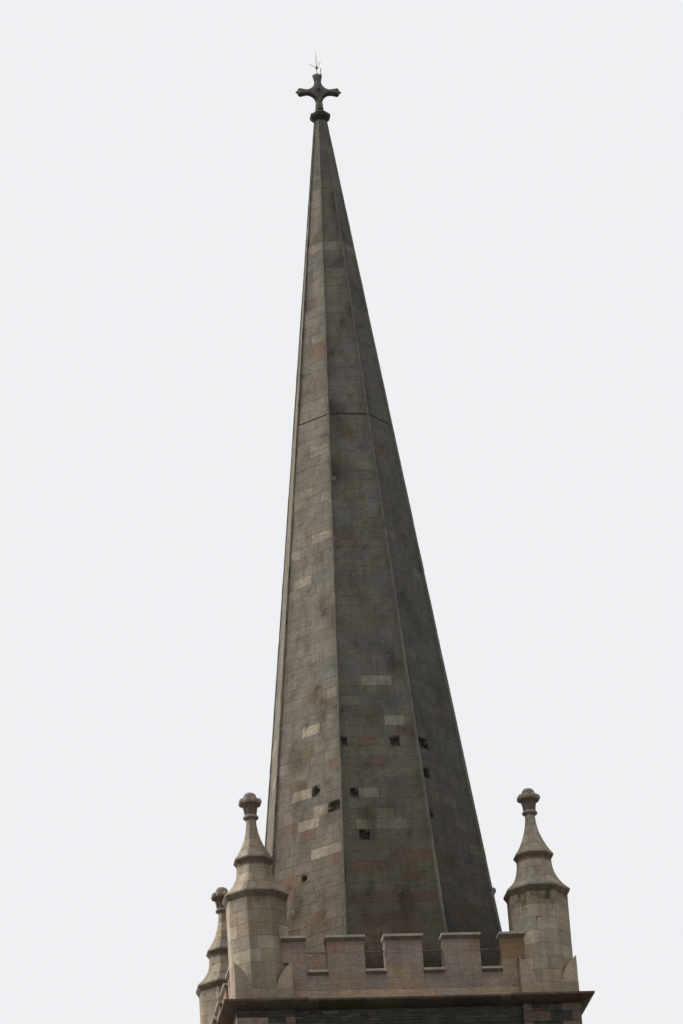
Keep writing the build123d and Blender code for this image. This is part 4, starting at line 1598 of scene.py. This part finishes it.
class SPIRE_OT_carve_collar(bpy.types.Operator):
    """Carve the octagonal collar between the spire and its cross"""
    bl_idname = "spire.carve_collar"
    bl_label = "Collar"

    def execute(self, context):
        work, rng = Masonry(), random.Random("collar")
        lip_foot, lip_top, lip = SPIRE_TOP + LIP_FOOT, SPIRE_TOP + LIP_TOP, COLLAR_HALF + LIP_OUT
        levels = [(SPIRE_TOP, octagon(COLLAR_FOOT)), (lip_foot, octagon(lip)),
                  (lip_top - 0.008, octagon(lip)), (lip_top, octagon(lip - 0.006)),
                  (lip_top + 0.02, octagon(COLLAR_BEVEL))]
        worn = ERODED._replace(relief=0.005, step=0.045)

        # Moss on top of the lip, and soot and painted shade under it
        def stain(point):
            return (0.45 if point.z > lip_top - 0.02 else 0.15, 0.0, 0.75 if point.z < lip_foot else 0.35)
        block(work, rng, levels, worn, colours().collar, stain)
        neck = [(lip_top, octagon(NECK[0])), (COLLAR_TOP, octagon(NECK[1]))]
        block(work, rng, neck, worn, colours().cross, (0.2, 0.0, 0.15))
        place_piece("collar_carving", work, [carved_stone()], ["spire_collar"])
        return {"FINISHED"}


# Spire

# How far the courses above the open joint are set back, and how close counts as the same bed
SETBACK, SAME = 0.007, 0.01


def course_beds():
    """Heights of the beds of the spire's courses, below and above the open joint."""
    band = sizes().band
    lower = round((band - SPIRE_FOOT) / sizes().course)
    upper = round((SPIRE_TOP - band) / sizes().course)
    beds = [SPIRE_FOOT + (band - SPIRE_FOOT) * index / lower for index in range(lower)]
    return beds + [band + (SPIRE_TOP - band) * index / upper for index in range(upper + 1)]


def side_light_at_height(name, height):
    """Colour of a side at a height: the side's painted light and shade, redder and darker low down, and the
    sides painted in shade paler high up.
    """
    share = min(1.0, max(0.0, (height - 3.5) / 5.5))
    pale = 0.20 * min(1.0, max(0.0, (height - 12) / 6)) if SIDE_LIGHT_AND_WEATHER[name][0] <= 1 else 0.0
    return [side * (low + (1 - low) * share) * (1 + pale)
            for side, low in zip(SIDE_LIGHT_AND_WEATHER[name], (0.78, 0.71, 0.67))]


def spire_tint(rng, name, height, kind):
    """Colour of one stone of the spire by its side's painted light and shade, its height and its kind."""
    if kind == "plain":
        chance = rng.random()
        reds = 0.10 if height < 6.5 else 0.05 if height < 10 else 0.02
        if chance < reds:
            kind = rng.choice(("red", "brown"))
        elif chance < reds + 0.05:
            kind = rng.choice(("light", "grey"))
    tone = toned(side_light_at_height(name, height), CASTS[kind])
    return shaded(rng, toned(colours().spire, tone), 0.075, 0.025)


def spire_stain(name):
    """Stain of one side of the spire: ochre about its damp spots, soot in patches and spots, and darkening
    towards the ribs.
    """
    spots = [spot[1:] for spot in OCHRE_STAINS if spot[0] == name]

    def stain(across, height):
        ochre = 0.0
        for middle, place, reach in spots:
            away = sqrt(((height - middle) * 1.4) ** 2 + (across - place) ** 2)
            ochre = max(ochre, 1.2 * (1 - away / reach))
        wave = 0.5 + 0.5 * noise.noise(Vector((across * 4, height * 1.1, len(name) + 9)))
        edge = max(0.0, 1 - (side_edge(height) - abs(across)) / 0.18) * wave
        patch = max(0.0, noise.fractal(Vector((across * 1.6, height * 0.8, len(name))), 0.8, 2.0, 4) - 0.12)
        spot = max(0.0, noise.noise(Vector((across * 4.5, height * 5.5, len(name)))) - 0.38)
        return (0.10 + 0.3 * patch, ochre, min(1.0, 0.50 * edge + 0.85 * patch + 2.2 * spot))
    return stain


def lay_spire_course(work, rng, name, place, up, joints, lift):
    """Lays one course of one side of the spire, and the mortar behind it, round its missing stones."""
    foot, top = up
    edges = (side_edge(foot), side_edge(top))
    odd = sorted((left, right, kind) for height, left, right, kind in ODD_STONES[name]
                 if foot <= height < top)
    spans = stone_ends(rng, -edges[0], edges[0], sizes().stone, joints, odd)
    strip = None
    for number, (start, end, kind) in enumerate(spans):
        if kind == "missing":
            lay_strip(work, place, strip, start, up, name, lift)
            lay_broken(work, rng, place, (start, end), up, name)
            strip = None
            continue
        first, last = number == 0, number == len(spans) - 1
        if strip is None:
            strip = start - (0.01 if first else 0)
        across = ((-edges[0], -edges[1]) if first else start, edges if last else end)
        lay(work, rng, place, across, up, SPIRE_ASHLAR, spire_tint(rng, name, (foot + top) / 2, kind),
            spire_stain(name), lift=lift + rng.uniform(-0.001, 0.002))
    lay_strip(work, place, strip, edges[0] + 0.01, up, name, lift)
    return [end for _, end, _ in spans[:-1]]


def lay_broken(work, rng, place, across, up, name):
    """Lays a stone that has weathered into a ragged hole."""
    middle = Vector((across[0] + across[1], up[0] + up[1])) / 2
    reach, seed = (across[1] - across[0]) / 2, rng.uniform(0, 99)

    def hole(where, height):
        away = Vector((where - middle.x, (height - middle.y) * 0.9)).length / reach
        ragged = noise.fractal(Vector((where * 9, height * 9, seed)), 1.0, 2.0, 3)
        return 0.085 * min(1.0, max(0.0, 2.6 - 2.4 * away + 2.0 * ragged))

    # Soot and painted shade, darker the deeper the hole
    def stain(where, height):
        return (0.0, 0.0, min(0.95, 0.35 + 9 * hole(where, height)))
    # Tint of the side's painted light and shade, darkened as painted shade in the hole
    tint = toned(colours().spire, toned(SIDE_LIGHT_AND_WEATHER[name], 0.8))
    rough = SPIRE_ASHLAR._replace(step=0.024, depth=0.10)
    lay(work, rng, place, across, up, rough, tint, stain, hole=hole)


def lay_strip(work, place, start, end, up, name, lift):
    """Lays the mortar behind a row of stones."""
    if start is None:
        return
    foot, top = up
    edge, back = side_edge(foot), -sizes().bed - 0.004
    points = []
    for height in (foot, top):
        pull = edge - side_edge(height)
        one = start + (pull if start < -edge else 0)
        two = end - (pull if end > edge else 0)
        points += [place(one, height, lift - POINTING), place(two, height, lift - POINTING),
                   place(two, height, back), place(one, height, back)]
    # The mortar takes its side's painted light and shade
    work.add(points, ring_faces(2, 4), toned(colours().spire, side_light_at_height(name, foot)), finish=MORTAR)


def spire_core_plan(turn, height):
    """Plan of one mitred side of the spire, behind its facing stones."""
    near, far = spire_half(height) - sizes().bed, spire_half(height) - sizes().shell
    plan = [(-near * SLOPE, -near), (near * SLOPE, -near), (far * SLOPE, -far), (-far * SLOPE, -far)]
    return [tuple(Matrix.Rotation(turn, 2) @ Vector(spot)) for spot in plan]


def leave_gap(foot, top):
    """Limits of a course, kept back where it meets the open joint."""
    band, half = sizes().band, sizes().band_gap / 2
    low = foot + half if abs(foot - band) < SAME else foot
    high = top - half if abs(top - band) < SAME else top
    return low, high


class SPIRE_OT_lay_spire(bpy.types.Operator):
    """Lay the eight sides of the spire and its solid top, course by course"""
    bl_idname = "spire.lay_spire"
    bl_label = "Spire"

    def execute(self, context):
        beds = course_beds()
        cap_bed = min(beds, key=lambda bed: abs(bed - CAP_FOOT))
        ashlar = [stone_material("spire_ashlar", bedding=0.5, pits=0.7, streaks=0.45, depth=0.005),
                  mortar_material()]
        cap = Masonry()
        plans = [(height, octagon(spire_half(height) - MORTAR_DEPTH)) for height in (cap_bed, SPIRE_TOP)]
        core(cap, plans, toned(colours().spire, 0.9))
        for index, name in enumerate(SPIRE_SIDES):
            rng, turn = random.Random(f"spire {name}"), index * EIGHTH
            work, place, joints = Masonry(), on_spire(turn), ()
            plans = [(height, spire_core_plan(turn, height)) for height in (SPIRE_FOOT, cap_bed)]
            core(work, plans, toned(colours().spire, 0.30))
            for foot, top in zip(beds, beds[1:]):
                lift = -SETBACK if foot > sizes().band - SAME else 0.0
                target = work if foot < cap_bed - SAME else cap
                joints = lay_spire_course(target, rng, name, place, leave_gap(foot, top), joints, lift)
            place_piece(f"spire_{name}_stones", work, ashlar, [f"spire_face_{name}"])
        place_piece("spire_cap_stones", cap, ashlar, ["spire_cap"])
        return {"FINISHED"}


def rib_plan(height, worn, shrink=0.0):
    """Plan of a rib on the X axis, narrowing outwards, its edge worn back by a share."""
    half = rib_half(height)
    radius = spire_half(height) / cos(EIGHTH / 2)
    outer = radius + sizes().rib_proud * 2 * half / sizes().rib_foot * worn
    edge, back = half * 0.5, radius - half * SLOPE - 0.02
    return [(back, -half + shrink), (outer - shrink, -edge + shrink), (outer - shrink, edge - shrink),
            (back, half - shrink)]


class SPIRE_OT_lay_ribs(bpy.types.Operator):
    """Lay the worn ribs on the spire's arrises"""
    bl_idname = "spire.lay_ribs"
    bl_label = "Ribs"

    def execute(self, context):
        work, rng = Masonry(), random.Random("ribs")
        beds = course_beds()
        for index in range(8):
            work.at = Matrix.Rotation(EIGHTH * (index + 0.5), 4, "Z")
            plans = [(height, rib_plan(height, 0.8, 0.006)) for height in (SPIRE_FOOT, SPIRE_TOP)]
            core(work, plans, toned(colours().spire, 0.8))
            start = 0
            while start < len(beds) - 1:
                end = min(len(beds) - 1, start + rng.choice((2, 3, 3, 4)))
                self.lay_stone(work, rng, index, beds[start], beds[end])
                start = end
        stone = stone_material("rib_stone", bedding=0.2, pits=0.8, streaks=0.3, depth=0.005)
        place_piece("rib_stones", work, [stone, mortar_material()], ["spire_ribs"])
        return {"FINISHED"}

    def lay_stone(self, work, rng, index, foot, top):
        """One rib stone, worn more or less along its edge."""
        worn = rng.uniform(0.86, 1.0)
        heights = [foot + (top - foot) * step / 4 for step in range(5)]
        levels = [(height, rib_plan(height, worn)) for height in heights]
        # A rib takes the painted light and shade of the two sides beside it, made paler
        sides = [SIDE_LIGHT_AND_WEATHER[SPIRE_SIDES[(index + step) % 8]] for step in (2, 3)]
        tone = [1.25 + 0.08 * (one + two) for one, two in zip(*sides)]
        tint = shaded(rng, toned(colours().spire, tone), 0.12)
        wear = ERODED if rib_half(foot) > 0.045 else ERODED._replace(bevel=0.006, relief=0.004)

        # Painted shade on the flank of each rib turned from the key light, and a little moss and soot all
        # over
        def stain(point):
            return (0.15, 0.0, 0.95 if point.y > 0.52 * rib_half(point.z) else 0.1)
        block(work, rng, levels, wear._replace(step=0.30), tint, stain)


# Lightning rod

# Radii and heights of the rod's lower part, of a spike and of the conductor's end, and the ball on the rod
ROD = ((0.030, -0.004), (0.030, 0.008), (0.012, 0.016), (0.009, 0.05), (0.0085, 0.30))
ROD_TIP = ((0.006, -0.12), (0.0035, -0.03), (0.0008, 0))
SPIKE = ((0.006, 0.02), (0.006, 0.12), (0.0045, 0.19), (0.0008, 0.229))
CONDUCTOR = ((0.022, -0.003), (0.022, 0.006), (0.009, 0.012), (0.009, 0.13), (0.007, 0.172))
ROD_BALL, ROD_BALL_AT, CONDUCTOR_AT = 0.036, 0.175, 0.095
SPIKES, SPIKE_LEAN = 3, radians(58)


def raised(profile, height):
    """A profile moved up to a height."""
    return [(radius, height + above) for radius, above in profile]


class SPIRE_OT_forge_rod(bpy.types.Operator):
    """Forge the lightning rod, with its ball and spikes, and the end of its conductor"""
    bl_idname = "spire.forge_rod"
    bl_label = "Lightning rod"

    def execute(self, context):
        work, foot = Masonry(), CROSS_HIGH.z
        turned(work, raised(ROD, foot) + raised(ROD_TIP, ROD_TOP), 20)
        ball = foot + ROD_BALL_AT
        turned(work, ball_profile(ball, ROD_BALL, 0.92), 24)
        for index in range(SPIKES):
            turn = index * 2 * pi / SPIKES + pi
            work.at = (Matrix.Translation((0, 0, ball)) @ Matrix.Rotation(turn, 4, "Z")
                       @ Matrix.Rotation(SPIKE_LEAN, 4, "Y"))
            turned(work, SPIKE, 10)
        work.at = Matrix.Translation((CONDUCTOR_AT, 0, 0))
        turned(work, raised(CONDUCTOR, foot), 14)
        metal = metal_material("old_iron", (0.10, 0.095, 0.088), (0.10, 0.050, 0.028), 0.22, 0.5)
        place_piece("lightning_rod_forged", work, [metal], ["lightning_rod"])
        return {"FINISHED"}


# Stage

# The camera of the photograph in the part's frame
CAMERA_AT = (-14.11, -90.50, -25.85)
CAMERA_AZIMUTH, CAMERA_RISE, CAMERA_ROLL = radians(8.77), radians(24.12), radians(-3.98)
CAMERA_LENS, SENSOR = 150.3, 36.0
FLOOR_REACH, LAMP_REACH = 3000.0, 60
KEY_FROM, KEY_SOFTNESS, KEY_COLOUR = Vector((-0.742, 0.346, 0.574)), 22, (1.0, 0.965, 0.91)
FILL_FROM, FILL_SOFTNESS, FILL_COLOUR = Vector((-0.10, -0.92, 0.30)), 60, (0.95, 0.97, 1.0)
SKY_COLOUR, BACKGROUND = (0.94, 0.97, 1.0), (0.86, 0.87, 0.89)
BOUNCE = (0.22, 0.22, 0.215)


class SPIRE_OT_set_stage(bpy.types.Operator):
    """Set the floor, the lights and the camera"""
    bl_idname = "spire.set_stage"
    bl_label = "Stage"

    def execute(self, context):
        scene = context.scene
        scene.view_settings.view_transform = "Standard"
        self.set_floor(scene)
        self.set_world(scene)
        studio = scene.spire_studio
        self.set_lamp("key", KEY_FROM, studio.key, KEY_SOFTNESS, KEY_COLOUR)
        self.set_lamp("fill", FILL_FROM, studio.fill, FILL_SOFTNESS, FILL_COLOUR)
        self.set_camera(scene)
        return {"FINISHED"}

    def set_floor(self, scene):
        """Wide pale floor. It is clear from below, because the photograph was taken from lower ground."""
        mesh = bpy.data.meshes.new("floor")
        corners = rectangle(-FLOOR_REACH, FLOOR_REACH, -FLOOR_REACH, FLOOR_REACH)
        mesh.from_pydata([(x, y, 0) for x, y in corners], [], [(0, 1, 2, 3)])
        floor = put("floor", mesh)
        material, tree, shader = new_material("pale_floor")
        colour = mixed(tree, "MIX", self.seen(tree), BOUNCE, scene.spire_studio.floor)
        for socket, source in (("Roughness", 1.0), ("Specular IOR Level", 0.0), ("Base Color", colour)):
            feed(tree, shader.inputs[socket], source)
        clear = node(tree, "ShaderNodeBsdfTransparent").outputs[0]
        below = node(tree, "ShaderNodeNewGeometry").outputs["Backfacing"]
        either(tree, below, shader.outputs[0], clear, "Material Output")
        mesh.materials.append(material)

    def seen(self, tree):
        """Share of what the camera sees, itself or in a reflection, over the light on the object."""
        rays = node(tree, "ShaderNodeLightPath").outputs
        return maths(tree, "MAXIMUM", rays["Is Camera Ray"], rays["Is Glossy Ray"])

    def set_world(self, scene):
        """Even light from all round, and a pale background behind the object."""
        world = bpy.data.worlds.new("sky")
        scene.world = world
        world.use_nodes = True
        tree = world.node_tree
        lit = tree.nodes["Background"]
        feed(tree, lit.inputs["Color"], SKY_COLOUR)
        feed(tree, lit.inputs["Strength"], scene.spire_studio.sky)
        pale = node(tree, "ShaderNodeBackground", Color=BACKGROUND, Strength=1.0)
        either(tree, self.seen(tree), lit.outputs[0], pale.outputs[0], "World Output")

    def set_lamp(self, name, source, strength, softness, colour):
        """Soft distant lamp that shines from a direction."""
        lamp = bpy.data.lights.new(name, "SUN")
        lamp.energy, lamp.angle, lamp.color = strength, radians(softness), colour
        holder = put(name, lamp)
        holder.rotation_mode = "QUATERNION"
        holder.rotation_quaternion = source.to_track_quat("Z", "Y")
        holder.location = source * LAMP_REACH

    def set_camera(self, scene):
        """Long lens from low ground in front, as the photograph was taken."""
        camera = bpy.data.cameras.new("camera")
        camera.lens, camera.sensor_width = CAMERA_LENS, SENSOR
        camera.clip_start, camera.clip_end = 1.0, 5000.0
        turn, rise, roll = CAMERA_AZIMUTH, CAMERA_RISE, CAMERA_ROLL
        ahead = Vector((sin(turn) * cos(rise), cos(turn) * cos(rise), sin(rise)))
        level = Vector((cos(turn), -sin(turn), 0))
        above = level.cross(ahead)
        right = level * cos(roll) + above * sin(roll)
        up = above * cos(roll) - level * sin(roll)
        scene.camera = put("camera", camera)
        looking = Matrix((right, up, -ahead)).transposed().to_4x4()
        scene.camera.matrix_world = Matrix.Translation(CAMERA_AT) @ looking


STEPS = (SPIRE_OT_lay_tower_walls, SPIRE_OT_lay_cornice, SPIRE_OT_lay_parapet, SPIRE_OT_lay_merlons,
         SPIRE_OT_lay_copings, SPIRE_OT_finish_frame_pieces, SPIRE_OT_lay_pinnacles,
         SPIRE_OT_carve_finials, SPIRE_OT_lay_spire, SPIRE_OT_lay_ribs, SPIRE_OT_carve_collar,
         SPIRE_OT_carve_cross, SPIRE_OT_forge_rod, SPIRE_OT_set_stage)
GROUPS = {"spire_sizes": StoneSizes, "spire_carving": CarvingSizes, "spire_colours": StoneColours,
          "spire_studio": StudioSettings}


class SPIRE_PT_panel(bpy.types.Panel):
    """Steps that lay the spire and its tower head"""
    bl_label = "Stone Spire"
    bl_idname = "SPIRE_PT_panel"
    bl_space_type = "VIEW_3D"
    bl_region_type = "UI"
    bl_category = "Spire"

    def draw(self, context):
        for step in STEPS:
            self.layout.operator(step.bl_idname)
        for group in GROUPS:
            box = self.layout.box()
            settings = getattr(context.scene, group)
            for name in settings.bl_rna.properties.keys():
                if name not in ("rna_type", "name"):
                    box.prop(settings, name)


def register():
    for group in GROUPS.values():
        bpy.utils.register_class(group)
    for name, group in GROUPS.items():
        setattr(bpy.types.Scene, name, bpy.props.PointerProperty(type=group))
    for step in STEPS:
        bpy.utils.register_class(step)
    bpy.utils.register_class(SPIRE_PT_panel)


def unregister():
    bpy.utils.unregister_class(SPIRE_PT_panel)
    for step in reversed(STEPS):
        bpy.utils.unregister_class(step)
    for name, group in GROUPS.items():
        delattr(bpy.types.Scene, name)
        bpy.utils.unregister_class(group)


def main():
    register()
    bpy.ops.spire.lay_tower_walls()
    bpy.ops.spire.lay_cornice()
    bpy.ops.spire.lay_parapet()
    bpy.ops.spire.lay_merlons()
    bpy.ops.spire.lay_copings()
    bpy.ops.spire.finish_frame_pieces()
    bpy.ops.spire.lay_pinnacles()
    bpy.ops.spire.carve_finials()
    bpy.ops.spire.lay_spire()
    bpy.ops.spire.lay_ribs()
    bpy.ops.spire.carve_collar()
    bpy.ops.spire.carve_cross()
    bpy.ops.spire.forge_rod()
    bpy.ops.spire.set_stage()


if __name__ == "__main__":
    main()
